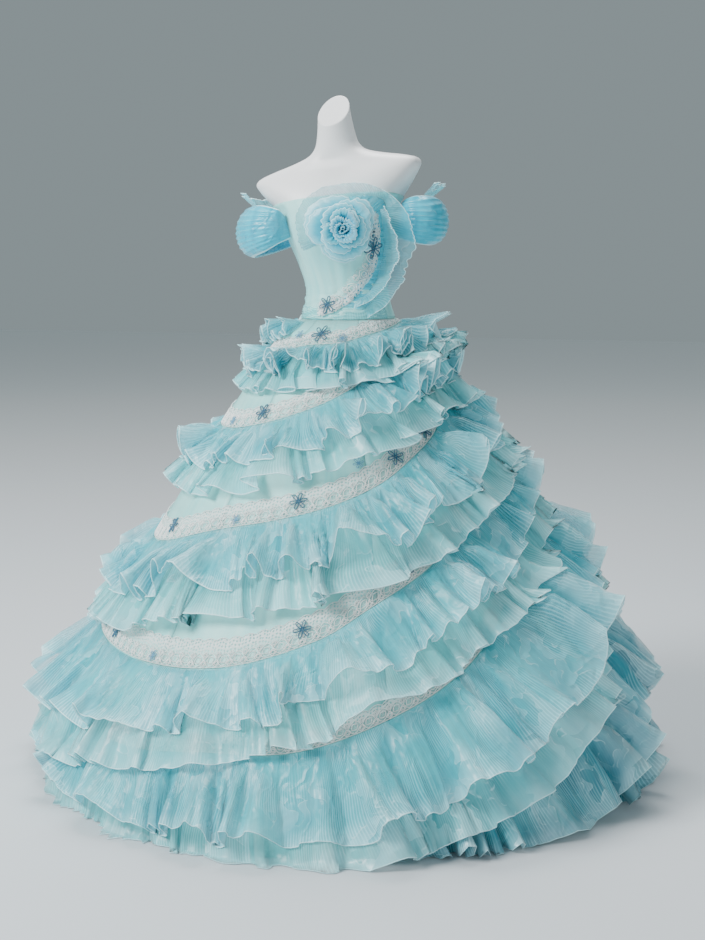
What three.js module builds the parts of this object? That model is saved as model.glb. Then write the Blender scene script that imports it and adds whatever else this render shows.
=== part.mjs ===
// A ball gown with tilted organza tiers, on a limbless dress form with a stand.
// Millimetres, +Z up, front of the gown towards -Y, floor at Z = 0 under the middle of the stand.
// Azimuth goes round the gown in degrees: 0 at the front, +90 at +X, 180 at the centre back.
import * as THREE from 'three';

// Driving dimensions
const CLOTH = 1.4;
const ORGANZA = 1.2;
const LACE = 1.0;
const SEAM_GAP = 0.3;
const SKIN_GAP = 0.6;
const REST_GAP = 0.5;
const WAIST_Z = 1048;
const NECKLINE_FRONT_Z = 1322;
const NECKLINE_DROP = 24;
const SHOULDER_TILT = Math.tan(THREE.MathUtils.degToRad(7.5));
const TILT_START_Z = 1180;
const TILT_END_Z = 1380;
const NECK_BASE_Z = 1450;
const NECK_CUT_Z = 1518;
const NECK_CUT_SLOPE = Math.tan(THREE.MathUtils.degToRad(50));
const NECK_LEAN = 40;
const STAND_RADIUS = 190;
const STAND_THICKNESS = 12;
const POLE_RADIUS = 18;
const POLE_SIDES = 24;
const STAND_BEVEL = 6;
const STAND_SIDES = 40;
const SKIRT_STATIONS = 40;
const FIGURE_STATIONS = 32;
const CONE_LIFT = THREE.MathUtils.degToRad(29);
const HEM_CLEARANCE = 2.5;
const LACE_RISE = 3;

const { degToRad, radToDeg, lerp, clamp, smoothstep } = THREE.MathUtils;

// Tables: a name for each column, a row for each section
const table = (names, rows) => rows.map((row) => Object.fromEntries(names.map((name, i) => [name, row[i]])));

// The figure's sections: half width, depth to the front and back, squareness and sideways shift
const FIGURE = table(['z', 'half', 'front', 'back', 'round', 'shift'], [
  [930, 148, 100, 106, 2.1, 16],
  [1000, 128, 94, 98, 2.0, 18],
  [1048, 106, 91, 91, 2.0, 18],
  [1110, 93, 76, 74, 2.0, 15],
  [1170, 103, 88, 78, 2.1, 8],
  [1220, 117, 108, 86, 2.2, 3],
  [1260, 123, 116, 90, 2.3, 0],
  [1290, 132, 108, 92, 2.4, -2],
  [1320, 156, 94, 92, 2.5, -4],
  [1340, 172, 84, 90, 2.6, -5],
  [1360, 186, 72, 84, 2.7, -6],
  [1374, 192, 62, 76, 2.8, -7],
  [1386, 182, 54, 70, 2.7, -7],
  [1396, 150, 50, 64, 2.5, -7],
  [1406, 108, 46, 60, 2.3, -7],
  [1418, 70, 45, 55, 2.1, -7],
  [1432, 53, 44, 51, 2.0, -7],
  [1450, 45, 42, 47, 2.0, -7],
  [1500, 37, 37, 41, 2.0, -7],
  [1580, 31, 33, 35, 2.0, -7],
]);
const FIGURE_LOW = [930, 965, 1005];
const FIGURE_BODICE = [0, 0.15, 0.32, 0.5, 0.66, 0.8, 1];
const FIGURE_HIGH = [1340, 1360, 1374, 1386, 1396, 1406, 1418, 1432, NECK_BASE_Z];
const FIGURE_NECK = [0.5, 1];

// The base skirt's sections: radius at the front, extra fullness at the back, depth ratio and shift.
// The lowest row is the same surface carried on below the floor line, for hems that turn out there.
const SKIRT = table(['z', 'radius', 'back', 'depth', 'shift'], [
  [-160, 664, 78, 1, 0],
  [0, 652, 76, 1, 0],
  [70, 644, 76, 1, 0],
  [170, 620, 78, 1, 0],
  [340, 543, 84, 1, 0],
  [560, 408, 80, 1, 0],
  [740, 304, 65, 1, 2],
  [890, 219, 38, 0.98, 6],
  [970, 173, 20, 0.94, 11],
  [1016, 143, 8, 0.9, 15],
  [WAIST_Z, 107.6, 0, 0.86, 18],
]);

// Seam lines round the skirt, each a tilted ring, as height by azimuth
const seamTable = (rows) => table(['az', 'z'], rows);
const SEAMS = {
  waist: seamTable([
    [-150, 1016], [-100, 986], [-52, 972], [-16, 990], [10, 996],
    [37, 1015], [86, 1036], [140, 1038], [180, 1032],
  ]),
  hip: seamTable([
    [-120, 838], [-83, 806], [-50, 803], [-28, 820], [-11, 842],
    [9, 875], [33, 925], [55, 965], [85, 990],
    [130, 992], [180, 950], [-150 + 360, 892],
  ]),
  thigh: seamTable([
    [-120, 620], [-90, 560], [-60, 545], [-26, 602], [-7, 629],
    [13, 662], [32, 706], [47, 753], [63, 799], [81, 857],
    [120, 902], [160, 880], [200, 780],
  ]),
  knee: seamTable([
    [-130, 440], [-95, 365], [-42, 330], [-12, 344], [12, 410],
    [25, 469], [40, 526], [53, 578], [67, 636], [79, 691],
    [110, 780], [145, 790], [180, 700],
  ]),
  shin: seamTable([
    [-130, 245], [-95, 185], [-60, 165], [-26, 167], [-11, 186],
    [9, 205], [30, 276], [45, 343], [53, 388], [63, 449],
    [76, 520], [89, 572], [115, 610], [150, 590], [180, 485],
  ]),
  train: seamTable([[24, 66], [60, 190], [90, 352], [120, 432], [150, 430], [180, 350], [215, 205], [238, 130]]),
  sweep: seamTable([[78, 100], [100, 170], [135, 262], [165, 258], [190, 190]]),
  hips_frill: seamTable([[168, 1040], [200, 1040], [250, 1040], [316, 1041]]),
};

// The tiers, from the floor up: the share of the fall that the lower and upper layer have, how they
// flare and how deep their waves swing, both as a share of the fall, and how far the cloth falls.
// A fall that passes the floor lies out on it
const fallTable = (rows) => table(['az', 'fall'], rows);
const TIERS = [
  { name: 'sweep', rows: [0, 0.5, 1], seam: 'sweep', span: [78, 190], under: 0, upper: 1, flare: 0.22, swing: 0.12,
    falls: fallTable([[78, 140], [100, 240], [135, 360], [165, 370], [190, 280]]) },
  { name: 'train', rows: [0, 0.5, 1], seam: 'train', span: [24, 238], under: 0, upper: 1, flare: 0.24, swing: 0.11,
    falls: fallTable([[24, 90], [60, 250], [90, 250], [130, 270], [180, 380], [215, 330], [238, 200]]) },
  { name: 'tier_5', rows: [0, 0.4, 1], seam: 'shin', under: 1, upper: 0.74, flare: 0.3, ripple: 0.05, swing: 0.16,
    falls: fallTable([
      [-150, 340], [-90, 270], [-60, 230], [-20, 260], [20, 310], [60, 310], [110, 260], [170, 270],
    ]) },
  { name: 'tier_4', rows: [0, 0.4, 1], seam: 'knee', under: 1, upper: 0.66, flare: 0.26, ripple: 0.05, swing: 0.17,
    falls: fallTable([
      [-150, 260], [-105, 390], [-76, 410], [-50, 310], [-10, 215], [40, 200], [110, 215], [170, 225],
    ]) },
  { name: 'tier_3', rows: [0, 1], seam: 'thigh', under: 1, upper: 0.66, flare: 0.29, ripple: 0.05, swing: 0.19,
    falls: fallTable([[-150, 215], [-60, 222], [0, 208], [50, 200], [110, 205], [170, 212]]) },
  { name: 'tier_2', rows: [0, 1], seam: 'hip', under: 1, upper: 0.64, flare: 0.34, ripple: 0, swing: 0.2,
    falls: fallTable([[-150, 170], [-60, 172], [0, 165], [60, 170], [120, 178]]) },
  { name: 'tier_1', rows: [0, 1], seam: 'waist', under: 0.98, upper: 0.66, flare: 0.38, ripple: 0, swing: 0.2,
    falls: fallTable([[-150, 100], [-60, 106], [0, 112], [60, 118], [110, 116]]) },
  { name: 'peplum', rows: [0, 1], seam: 'hips_frill', span: [168, 316], under: 0, upper: 1, flare: 0.36, swing: 0.16,
    falls: fallTable([[168, 40], [220, 66], [280, 70], [316, 34]]) },
];

// Lace bands on the skirt, each lying along the upper side of a seam
const LACES = table(['name', 'seam', 'width'], [
  ['lace_1', 'waist', 26], ['lace_2', 'hip', 38], ['lace_3', 'thigh', 46],
  ['lace_4', 'knee', 54], ['lace_5', 'shin', 34],
]);

// The bodice's pieces, between seams at the sides and the centre back
const SIDE_SEAM = 80;
// The bodice's lace band and swirled collar: azimuth and height on the bodice
const BODICE_LACE = table(['az', 'z', 'width'], [
  [44, 1276, 26], [49, 1251, 30], [50, 1212, 32], [45, 1167, 34],
  [30, 1134, 36], [12, 1101, 36], [-9, 1078, 34],
  [-27, 1066, 28],
]);

// Collar strips: where the seam lies on the bodice and where the free edge stands
const collarTable = (rows) => table(['az', 'z', 'x', 'y', 'edge'], rows);
const COLLARS = [
  { name: 'collar_outer', steps: 30, swing: 5, rows: collarTable([
    [-15, 1212, -46, -130, 1202], [-18, 1232, -58, -136, 1232],
    [-17, 1264, -60, -142, 1264], [-12, 1292, -48, -142, 1306],
    [2, 1310, -4, -134, 1336], [22, 1314, 46, -126, 1348],
    [42, 1310, 108, -114, 1343], [60, 1296, 156, -94, 1313],
    [74, 1254, 188, -76, 1256], [80, 1212, 190, -62, 1213],
    [80, 1168, 174, -56, 1167], [72, 1130, 162, -66, 1130],
    [52, 1092, 136, -88, 1083], [34, 1068, 96, -106, 1054],
  ]) },
  { name: 'collar_middle', steps: 18, swing: 4, rows: collarTable([
    [56, 1284, 134, -116, 1298], [64, 1254, 150, -108, 1257],
    [68, 1216, 160, -98, 1220], [67, 1180, 160, -92, 1184],
    [60, 1142, 144, -94, 1146], [44, 1108, 112, -108, 1098], [24, 1086, 66, -118, 1074],
  ]) },
];

// The rose's rings of petals: radius at the root, radius and height above the bodice at the free edge
const ROSE_AZ = 17;
const ROSE_Z = 1250;
const ROOT_GAP = 0.8;
const ROSE = table(['name', 'root', 'radius', 'rise', 'waves', 'swing'], [
  ['rose_outer', 24, 58, 24, 7, 4],
  ['rose_inner', 15, 44, 34, 6, 4],
  ['rose_core', 6, 25, 41, 5, 2.5],
]);

// A sleeve's plan path with the lower and upper edge of the band and how far it puffs out.
// The gown's left sleeve starts behind the collar, the right one starts in front.
const sleeveTable = (rows) => table(['x', 'y', 'low', 'high', 'puff'], rows);
const SLEEVES = [
  { name: 'left', side: 1, frontAz: 96, backAz: 126, rows: sleeveTable([
    [152, -14, 1212, 1298, 14], [176, -26, 1204, 1306, 24],
    [198, -16, 1198, 1306, 34], [208, 8, 1196, 1304, 38],
    [204, 38, 1198, 1300, 38], [186, 66, 1204, 1296, 34],
    [158, 88, 1216, 1292, 24], [128, 96, 1226, 1288, 14],
  ]) },
  { name: 'right', side: -1, frontAz: 50, backAz: 126, rows: sleeveTable([
    [112, -98, 1228, 1300, 14], [148, -92, 1212, 1312, 28],
    [180, -66, 1204, 1316, 38], [200, -26, 1200, 1312, 43],
    [202, 20, 1202, 1308, 43], [186, 62, 1208, 1304, 38],
    [158, 88, 1218, 1298, 26], [126, 96, 1228, 1290, 14],
  ]) },
];
const SLEEVE_END_LOW = 1230;
const SLEEVE_END_HIGH = 1288;
const SLEEVE_FOLDS = 3;
const SLEEVE_FOLD_DEPTH = 5;
const SLEEVE_FRILL = { from: 0.36, to: 0.8, width: 30, seat: 1.7 };

// Applique flowers: the lace they lie on or near, azimuth and rise above its seam
const FLOWER_RADIUS = 19;
const FLOWERS = table(['seam', 'az', 'rise'], [
  ['hip', 80, 20], ['waist', -8, 24], ['hip', -28, 26],
  ['hip', 24, 24], ['hip', 60, 22], ['thigh', -52, 34],
  ['thigh', 2, 30], ['thigh', 40, 30], ['thigh', 58, 26],
  ['knee', 8, 34], ['knee', 36, 34], ['knee', -50, 30],
]);
const BODICE_FLOWERS = table(['az', 'z', 'size', 'lift'], [[50, 1208, 22, 4.6], [-12, 1078, 20, 4.9]]);

// Materials
const cloth = (color, roughness) => new THREE.MeshStandardMaterial({ color, roughness, metalness: 0 });
const FORM_WHITE = new THREE.MeshStandardMaterial({ color: 0xe9ebea, roughness: 0.45, metalness: 0 });
const STAND_STEEL = new THREE.MeshStandardMaterial({ color: 0xb8bcbd, roughness: 0.3, metalness: 0.9 });
const MINT = cloth(0xc4e6e2, 0.6);
const AQUA = cloth(0x9fdbe2, 0.45);
const PALE_AQUA = cloth(0xb9e4e9, 0.45);
const SLEEVE_AQUA = cloth(0x55c3d2, 0.45);
const LACE_WHITE = cloth(0xe6f1f0, 0.75);
const ROSE_AQUA = cloth(0x6fd0e2, 0.45);
const FLOWER_BLUE = cloth(0x4a7fb0, 0.7);

// Reading the tables
function between(rows, key, at) {
  const last = rows.length - 1;
  const x = clamp(at, rows[0][key], rows[last][key]);
  let i = 0;
  while (i < last - 1 && x > rows[i + 1][key]) i += 1;
  const span = rows[i + 1][key] - rows[i][key];
  const t = (x - rows[i][key]) / span;
  const rate = (j, name) => {
    const [a, b] = [rows[Math.max(j - 1, 0)], rows[Math.min(j + 1, last)]];
    return (b[name] - a[name]) / (b[key] - a[key]);
  };
  const result = { [key]: x };
  for (const name of Object.keys(rows[0])) {
    if (name === key) continue;
    const [p, q] = [rows[i][name], rows[i + 1][name]];
    const [m, n] = [rate(i, name) * span, rate(i + 1, name) * span];
    const keep = (1 + 2 * t) * (1 - t) ** 2;
    result[name] = p * keep + q * (1 - keep) + m * t * (1 - t) ** 2 - n * t * t * (1 - t);
  }
  return result;
}

// The same for a ring: the rows repeat after 360 degrees
function around(rows, az) {
  const start = rows[0].az;
  const turn = ((az - start) % 360 + 360) % 360 + start;
  const shifted = (row, by) => ({ ...row, az: row.az + by });
  const before = rows.slice(-2).map((row) => shifted(row, -360));
  const after = rows.slice(0, 2).map((row) => shifted(row, 360));
  return between([...before, ...rows, ...after], 'az', turn);
}

// The same by row number, for paths
function along(rows, share) {
  const numbered = rows.map((row, i) => ({ ...row, row: i }));
  return between(numbered, 'row', share * (rows.length - 1));
}

// Surfaces
const power = (value, exponent) => Math.sign(value) * Math.abs(value) ** exponent;

function figurePoint(az, z) {
  const part = between(FIGURE, 'z', z);
  const angle = degToRad(az);
  const shape = 2 / part.round;
  const x = part.shift + part.half * power(Math.sin(angle), shape);
  const depth = Math.cos(angle) > 0 ? part.front : part.back;
  const lean = NECK_LEAN * smoothstep(z, TILT_END_Z, FIGURE[FIGURE.length - 1].z);
  const y = -depth * power(Math.cos(angle), shape) - lean;
  return new THREE.Vector3(x, y, z + x * SHOULDER_TILT * smoothstep(z, TILT_START_Z, TILT_END_Z));
}

const necklineZ = (az) => NECKLINE_FRONT_Z - NECKLINE_DROP * (1 - Math.cos(degToRad(az))) / 2;

// The neck's cut plane rises towards the back, so its height depends on the depth that it meets
const NECK_CUT_PASSES = 12;
const NECK_CUT_STEP = 0.4;
const NECK_CUT_LEAN = 0.6;
function neckCutZ(az) {
  let z = NECK_CUT_Z;
  for (let pass = 0; pass < NECK_CUT_PASSES; pass += 1) {
    const y = figurePoint(az, z).y + NECK_LEAN * NECK_CUT_LEAN;
    z = lerp(z, NECK_CUT_Z + y * NECK_CUT_SLOPE, NECK_CUT_STEP);
  }
  return z;
}

function skirtRing(az, row) {
  const angle = degToRad(az);
  const radius = row.radius + row.back * ((1 - Math.cos(angle)) / 2) ** 1.5;
  return new THREE.Vector3(row.shift + radius * Math.sin(angle), -radius * row.depth * Math.cos(angle), row.z);
}

const STATION = 360 / SKIRT_STATIONS;

// A point on the base skirt's flat facets, moved out square to the cone
function skirtAt(az, z, height = 0) {
  const column = Math.floor(az / STATION);
  const across = az / STATION - column;
  let j = 0;
  while (j < SKIRT.length - 2 && z > SKIRT[j + 1].z) j += 1;
  const up = (z - SKIRT[j].z) / (SKIRT[j + 1].z - SKIRT[j].z);
  const edge = (row) => skirtRing(column * STATION, row).lerp(skirtRing((column + 1) * STATION, row), across);
  const point = edge(SKIRT[j]).lerp(edge(SKIRT[j + 1]), up);
  const angle = degToRad(az);
  const out = new THREE.Vector3(Math.sin(angle) * Math.cos(CONE_LIFT), -Math.cos(angle) * Math.cos(CONE_LIFT),
    Math.sin(CONE_LIFT));
  return point.addScaledVector(out, height);
}

// How far a point near the skirt stands off it
function heightAbove(point) {
  const row = between(SKIRT, 'z', point.z);
  const az = radToDeg(Math.atan2(point.x - row.shift, -point.y / row.depth));
  const below = skirtAt(az, point.z, 0);
  const out = skirtAt(az, point.z, 1).sub(below);
  return point.clone().sub(below).dot(out);
}

// Grids of points, as rows of columns
const grid = (rows, columns, point) =>
  Array.from({ length: rows }, (_, i) => Array.from({ length: columns }, (__, j) => point(i, j)));

function normals(points, closed) {
  const rows = points.length;
  const columns = points[0].length;
  const wrap = (j) => (closed ? (j + columns) % columns : clamp(j, 0, columns - 1));
  return grid(rows, columns, (i, j) => {
    const down = points[Math.min(i + 1, rows - 1)][j].clone().sub(points[Math.max(i - 1, 0)][j]);
    const side = points[i][wrap(j + 1)].clone().sub(points[i][wrap(j - 1)]);
    return side.cross(down).normalize();
  });
}

// Moved out from the gown's axis, whichever way the rows and columns run
function movedOut(points, distance, closed) {
  const out = normals(points, closed);
  let facing = 0;
  points.forEach((row, i) => row.forEach((point, j) => {
    facing += out[i][j].x * point.x + out[i][j].y * point.y;
  }));
  const step = distance * Math.sign(facing);
  return points.map((row, i) => row.map((point, j) => point.clone().addScaledVector(out[i][j], step)));
}

// Closed solids from grids
function solid(name, vertices, faces, material) {
  let volume = 0;
  for (const [a, b, c] of faces) volume += vertices[a].dot(vertices[b].clone().cross(vertices[c]));
  const index = volume > 0 ? faces : faces.map(([a, b, c]) => [a, c, b]);
  const geometry = new THREE.BufferGeometry();
  const coordinates = vertices.flatMap((vertex) => [vertex.x, vertex.y, vertex.z]);
  geometry.setAttribute('position', new THREE.Float32BufferAttribute(coordinates, 3));
  geometry.setIndex(index.flat());
  geometry.computeVertexNormals();
  const mesh = new THREE.Mesh(geometry, material);
  mesh.name = name;
  return mesh;
}

// A wall between two grids of the same size, closed at every edge
function wall(name, inner, outer, closed, material) {
  const rows = inner.length;
  const columns = inner[0].length;
  const vertices = [...inner.flat(), ...outer.flat()];
  const faces = [];
  const at = (side, i, j) => side * rows * columns + i * columns + (j % columns);
  const quad = (a, b, c, d) => faces.push([a, b, c], [a, c, d]);
  const spans = closed ? columns : columns - 1;
  for (let j = 0; j < spans; j += 1) {
    for (let i = 0; i < rows - 1; i += 1) {
      quad(at(0, i, j), at(0, i, j + 1), at(0, i + 1, j + 1), at(0, i + 1, j));
      quad(at(1, i, j), at(1, i + 1, j), at(1, i + 1, j + 1), at(1, i, j + 1));
    }
    quad(at(0, 0, j), at(1, 0, j), at(1, 0, j + 1), at(0, 0, j + 1));
    quad(at(0, rows - 1, j), at(0, rows - 1, j + 1), at(1, rows - 1, j + 1), at(1, rows - 1, j));
  }
  if (!closed) {
    for (let i = 0; i < rows - 1; i += 1) {
      const end = columns - 1;
      quad(at(0, i, 0), at(0, i + 1, 0), at(1, i + 1, 0), at(1, i, 0));
      quad(at(0, i, end), at(1, i, end), at(1, i + 1, end), at(0, i + 1, end));
    }
  }
  return solid(name, vertices, faces, material);
}

// A solid body whose rows are closed rings, with a flat cap at each end
function body(name, points, material) {
  const columns = points[0].length;
  const middle = (row) => row.reduce((sum, p) => sum.add(p), new THREE.Vector3()).divideScalar(row.length);
  const vertices = [...points.flat(), middle(points[0]), middle(points[points.length - 1])];
  const faces = [];
  const lastRow = (points.length - 1) * columns;
  for (let j = 0; j < columns; j += 1) {
    const next = (j + 1) % columns;
    for (let i = 0; i < points.length - 1; i += 1) {
      const [a, b] = [i * columns + j, i * columns + next];
      faces.push([a, b, b + columns], [a, b + columns, a + columns]);
    }
    faces.push([vertices.length - 2, next, j], [vertices.length - 1, lastRow + j, lastRow + next]);
  }
  return solid(name, vertices, faces, material);
}

// Dress form: torso with shoulder stumps and a slanted neck, pole and base
const FIGURE_STEP = 360 / FIGURE_STATIONS;
const bodiceZ = (az, share) => lerp(WAIST_Z, necklineZ(az), share);
const FIGURE_ROWS = [
  ...FIGURE_LOW.map((z) => () => z),
  ...FIGURE_BODICE.map((share) => (az) => bodiceZ(az, share)),
  ...FIGURE_HIGH.map((z) => () => z),
  ...FIGURE_NECK.map((share) => (az) => lerp(NECK_BASE_Z, neckCutZ(az), share)),
];

function dressForm() {
  const torso = FIGURE_ROWS.map((z) => Array.from({ length: FIGURE_STATIONS }, (_, j) => {
    const az = j * FIGURE_STEP;
    return figurePoint(az, z(az));
  }));
  const poleLength = FIGURE_LOW[0] - STAND_THICKNESS - 2 * SEAM_GAP;
  const pole = new THREE.CylinderGeometry(POLE_RADIUS, POLE_RADIUS, poleLength, POLE_SIDES);
  const base = new THREE.CylinderGeometry(STAND_RADIUS - STAND_BEVEL, STAND_RADIUS, STAND_THICKNESS, STAND_SIDES);
  const upright = (name, geometry, z) => {
    const mesh = new THREE.Mesh(geometry, STAND_STEEL);
    mesh.name = name;
    mesh.rotation.x = Math.PI / 2;
    mesh.position.z = z;
    return mesh;
  };
  return [
    body('form_torso', torso, FORM_WHITE),
    upright('form_pole', pole, (FIGURE_LOW[0] + STAND_THICKNESS) / 2),
    upright('form_base', base, STAND_THICKNESS / 2),
  ];
}

// Bodice: three panels that follow the figure
function bodiceRing(gap) {
  const rings = grid(FIGURE_BODICE.length, FIGURE_STATIONS, (i, j) => {
    const az = j * FIGURE_STEP;
    return figurePoint(az, bodiceZ(az, FIGURE_BODICE[i]));
  });
  return movedOut(rings, gap, true);
}

const BODICE_INNER = bodiceRing(SKIN_GAP);
const BODICE_OUTER = bodiceRing(SKIN_GAP + CLOTH);
const BODICE_OUT = movedOut(BODICE_OUTER, 1, true).map((row, i) =>
  row.map((point, j) => point.sub(BODICE_OUTER[i][j])));

function onRing(ring, column, i) {
  const j = Math.floor(column);
  const turn = (k) => ((k % FIGURE_STATIONS) + FIGURE_STATIONS) % FIGURE_STATIONS;
  return ring[i][turn(j)].clone().lerp(ring[i][turn(j + 1)], column - j);
}

// A point on the bodice's outer facets, moved out
function bodiceAt(az, z, height) {
  const share = clamp((z - WAIST_Z) / (necklineZ(az) - WAIST_Z), 0, 1);
  let i = 0;
  while (i < FIGURE_BODICE.length - 2 && share > FIGURE_BODICE[i + 1]) i += 1;
  const up = (share - FIGURE_BODICE[i]) / (FIGURE_BODICE[i + 1] - FIGURE_BODICE[i]);
  const column = az / FIGURE_STEP;
  const point = onRing(BODICE_OUTER, column, i).lerp(onRing(BODICE_OUTER, column, i + 1), up);
  const out = onRing(BODICE_OUT, column, i).lerp(onRing(BODICE_OUT, column, i + 1), up).normalize();
  return point.addScaledVector(out, height);
}

function panelColumns(from, to, step, evaluate) {
  const first = Math.ceil((from + 0.5) / step) * step;
  const azimuths = [from];
  for (let az = first; az < to - 0.5; az += step) azimuths.push(az);
  azimuths.push(to);
  return azimuths.map(evaluate);
}

// Side edges are drawn back by half a seam gap
function trimmed(points) {
  return points.map((row) => {
    const result = row.map((point) => point.clone());
    const pull = (end, next) => {
      const inward = row[next].clone().sub(row[end]).normalize();
      result[end].addScaledVector(inward, SEAM_GAP / 2);
    };
    pull(0, 1);
    pull(row.length - 1, row.length - 2);
    return result;
  });
}

function bodice() {
  const panel = (name, from, to) => {
    const side = (ring) => trimmed(FIGURE_BODICE.map((_, i) =>
      panelColumns(from, to, FIGURE_STEP, (az) => onRing(ring, az / FIGURE_STEP, i))));
    return wall(name, side(BODICE_INNER), side(BODICE_OUTER), false, MINT);
  };
  return [
    panel('bodice_front', -SIDE_SEAM, SIDE_SEAM),
    panel('bodice_back_left', SIDE_SEAM, 180),
    panel('bodice_back_right', 180, 360 - SIDE_SEAM),
  ];
}

// Base skirt: eight gores that stand on the floor, the first at the front
const SKIRT_SEAMS = [-27, 27, 72, 117, 162, 198, 243, 288, 333];
function skirt() {
  const rows = SKIRT.filter((row) => row.z >= 0).map((row) => row.z);
  const heights = rows.map((z, i) => (i === rows.length - 1 ? z - SEAM_GAP / 2 : z));
  const side = (from, to, height) => trimmed(heights.map((z) =>
    panelColumns(from, to, STATION, (az) => skirtAt(az, z, 0).setZ(z).add(
      new THREE.Vector3(Math.sin(degToRad(az)), -Math.cos(degToRad(az)), 0).multiplyScalar(height)))));
  const panel = (name, from, to) => wall(name, side(from, to, -CLOTH), side(from, to, 0), false, MINT);
  return SKIRT_SEAMS.slice(1).map((to, i) => panel(`skirt_gore_${i + 1}`, SKIRT_SEAMS[i], to));
}

// What already lies on the skirt: the outermost height of the layers below, by azimuth and height
const COVER_LOW_Z = -240;
const COVER_STEP_Z = 6;
const COVER_ROWS = 224;
const COVER_SAMPLES = 7;
const COVER_MARGIN = 1.3;
const cover = new Float32Array(360 * COVER_ROWS);
const wholeTurn = (az) => ((Math.round(az) % 360) + 360) % 360;
const coverIndex = (az, row) => wholeTurn(az) * COVER_ROWS + clamp(row, 0, COVER_ROWS - 1);

function coverAt(az, z, reach) {
  const row = Math.floor((z - COVER_LOW_Z) / COVER_STEP_Z);
  let top = 0;
  for (let turn = -reach; turn <= reach; turn += 1) {
    for (const near of [row - 1, row, row + 1]) top = Math.max(top, cover[coverIndex(az + turn, near)]);
  }
  return top;
}

// Cells are {az, z, height} on the skirt
function addToCover(cells, thickness, closed) {
  const columns = cells[0].length;
  const spans = closed ? columns : columns - 1;
  for (let i = 0; i < cells.length - 1; i += 1) {
    for (let j = 0; j < spans; j += 1) {
      const next = (j + 1) % columns;
      const [a, b, c, d] = [cells[i][j], cells[i][next], cells[i + 1][j], cells[i + 1][next]];
      const turn = closed && j === columns - 1 ? 360 : 0;
      for (let s = 0; s <= COVER_SAMPLES; s += 1) {
        for (let t = 0; t <= COVER_SAMPLES; t += 1) {
          const [u, v] = [s / COVER_SAMPLES, t / COVER_SAMPLES];
          const mix = (key, by) => lerp(lerp(a[key], b[key] + by, u), lerp(c[key], d[key] + by, u), v);
          const index = coverIndex(mix('az', turn), Math.round((mix('z', 0) - COVER_LOW_Z) / COVER_STEP_Z));
          cover[index] = Math.max(cover[index], mix('height', 0) + thickness * COVER_MARGIN);
        }
      }
    }
  }
}

const onSkirt = (cells) => cells.map((row) => row.map((cell) => skirtAt(cell.az, cell.z, cell.height)));

// Raises the corners of flat facets that would cut the skirt's ridges
const RIDGE_SAMPLES = 12;
function clearOfSkirt(cells, closed) {
  const columns = cells[0].length;
  const points = onSkirt(cells);
  const lacks = cells.map((row) => row.map(() => 0));
  for (let i = 0; i < cells.length - 1; i += 1) {
    for (let j = 0; j < (closed ? columns : columns - 1); j += 1) {
      const next = (j + 1) % columns;
      const corners = [[i, j], [i, next], [i + 1, next], [i + 1, j]];
      let lack = 0;
      for (let s = 0; s <= RIDGE_SAMPLES; s += 1) {
        for (let t = 0; t <= RIDGE_SAMPLES; t += 1) {
          const [u, v] = [s / RIDGE_SAMPLES, t / RIDGE_SAMPLES];
          const [a, b, c, d] = corners.map(([m, n]) => points[m][n]);
          const [first, second] = u > v ? [b, c] : [d, c];
          const [near, far] = u > v ? [u - v, v] : [v - u, u];
          const point = a.clone().multiplyScalar(1 - near - far);
          point.addScaledVector(first, near).addScaledVector(second, far);
          lack = Math.max(lack, SKIN_GAP - heightAbove(point));
        }
      }
      for (const [a, b] of corners) lacks[a][b] = Math.max(lacks[a][b], lack);
    }
  }
  cells.forEach((row, i) => row.forEach((cell, j) => { cell.height += lacks[i][j]; }));
}

// Lace bands follow a seam, just above it. Their lowest strip isn't counted as cover, because the
// ruffle below starts there
const LACE_START = 6;
function laceBand({ name, seam, width }) {
  const cells = grid(2, SKIRT_STATIONS, (i, j) => {
    const az = j * STATION;
    const z = around(SEAMS[seam], az).z + LACE_RISE + i * width;
    return { az, z: Math.min(z, WAIST_Z - LACE_RISE), height: SKIN_GAP };
  });
  clearOfSkirt(cells, true);
  const upperPart = cells.map((row, i) =>
    row.map((cell) => ({ ...cell, z: cell.z + (i === 0 ? LACE_START : 0) })));
  addToCover(upperPart, LACE, true);
  const inner = onSkirt(cells);
  return wall(name, inner, movedOut(inner, LACE, true), true, LACE_WHITE);
}

// The way that cloth falls from a seam: square to the seam and down, leaning to plumb
const FALL_TURN = 0.55;
const SEAM_STEP = 3;
function fallDirection(seam, az) {
  const [before, after] = [seam(az - SEAM_STEP), seam(az + SEAM_STEP)];
  const radius = skirtRing(az, between(SKIRT, 'z', seam(az))).setZ(0).length();
  const slope = (after - before) / (2 * degToRad(SEAM_STEP) * radius) * FALL_TURN;
  const length = Math.hypot(slope, 1);
  return { turn: radToDeg(slope / length / radius), drop: Math.cos(CONE_LIFT) / length };
}

// Uneven folds: each wave has its own depth
const unevenness = (wave, seed) => 0.72 + 0.42 * Math.abs(Math.sin(wave * 2.3 + seed * 1.9));

// Raises a column of cells until it lies on what is below it
const CHECKS = 16;
const UPPER_PART = 0.3;
function layOn(column, gap, reach) {
  for (let i = column.length - 1; i > 0; i -= 1) {
    const [upper, lower] = [column[i - 1], column[i]];
    for (let k = 0; k <= CHECKS; k += 1) {
      const t = 1 - k / CHECKS;
      const height = lerp(upper.height, lower.height, t);
      const below = coverAt(lerp(upper.az, lower.az, t), lerp(upper.z, lower.z, t), reach);
      const lack = below > 0 ? below + gap - height : 0;
      if (lack > 0 && t > UPPER_PART) lower.height += lack / t;
      if (lack > 0 && t <= UPPER_PART) upper.height += lack / (1 - t);
    }
  }
}

const WAVE_AT_SEAM = 0.4;
function clearOfFloor(column) {
  for (const cell of column) {
    cell.z = Math.max(cell.z, HEM_CLEARANCE - cell.height * Math.sin(CONE_LIFT));
  }
}

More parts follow.
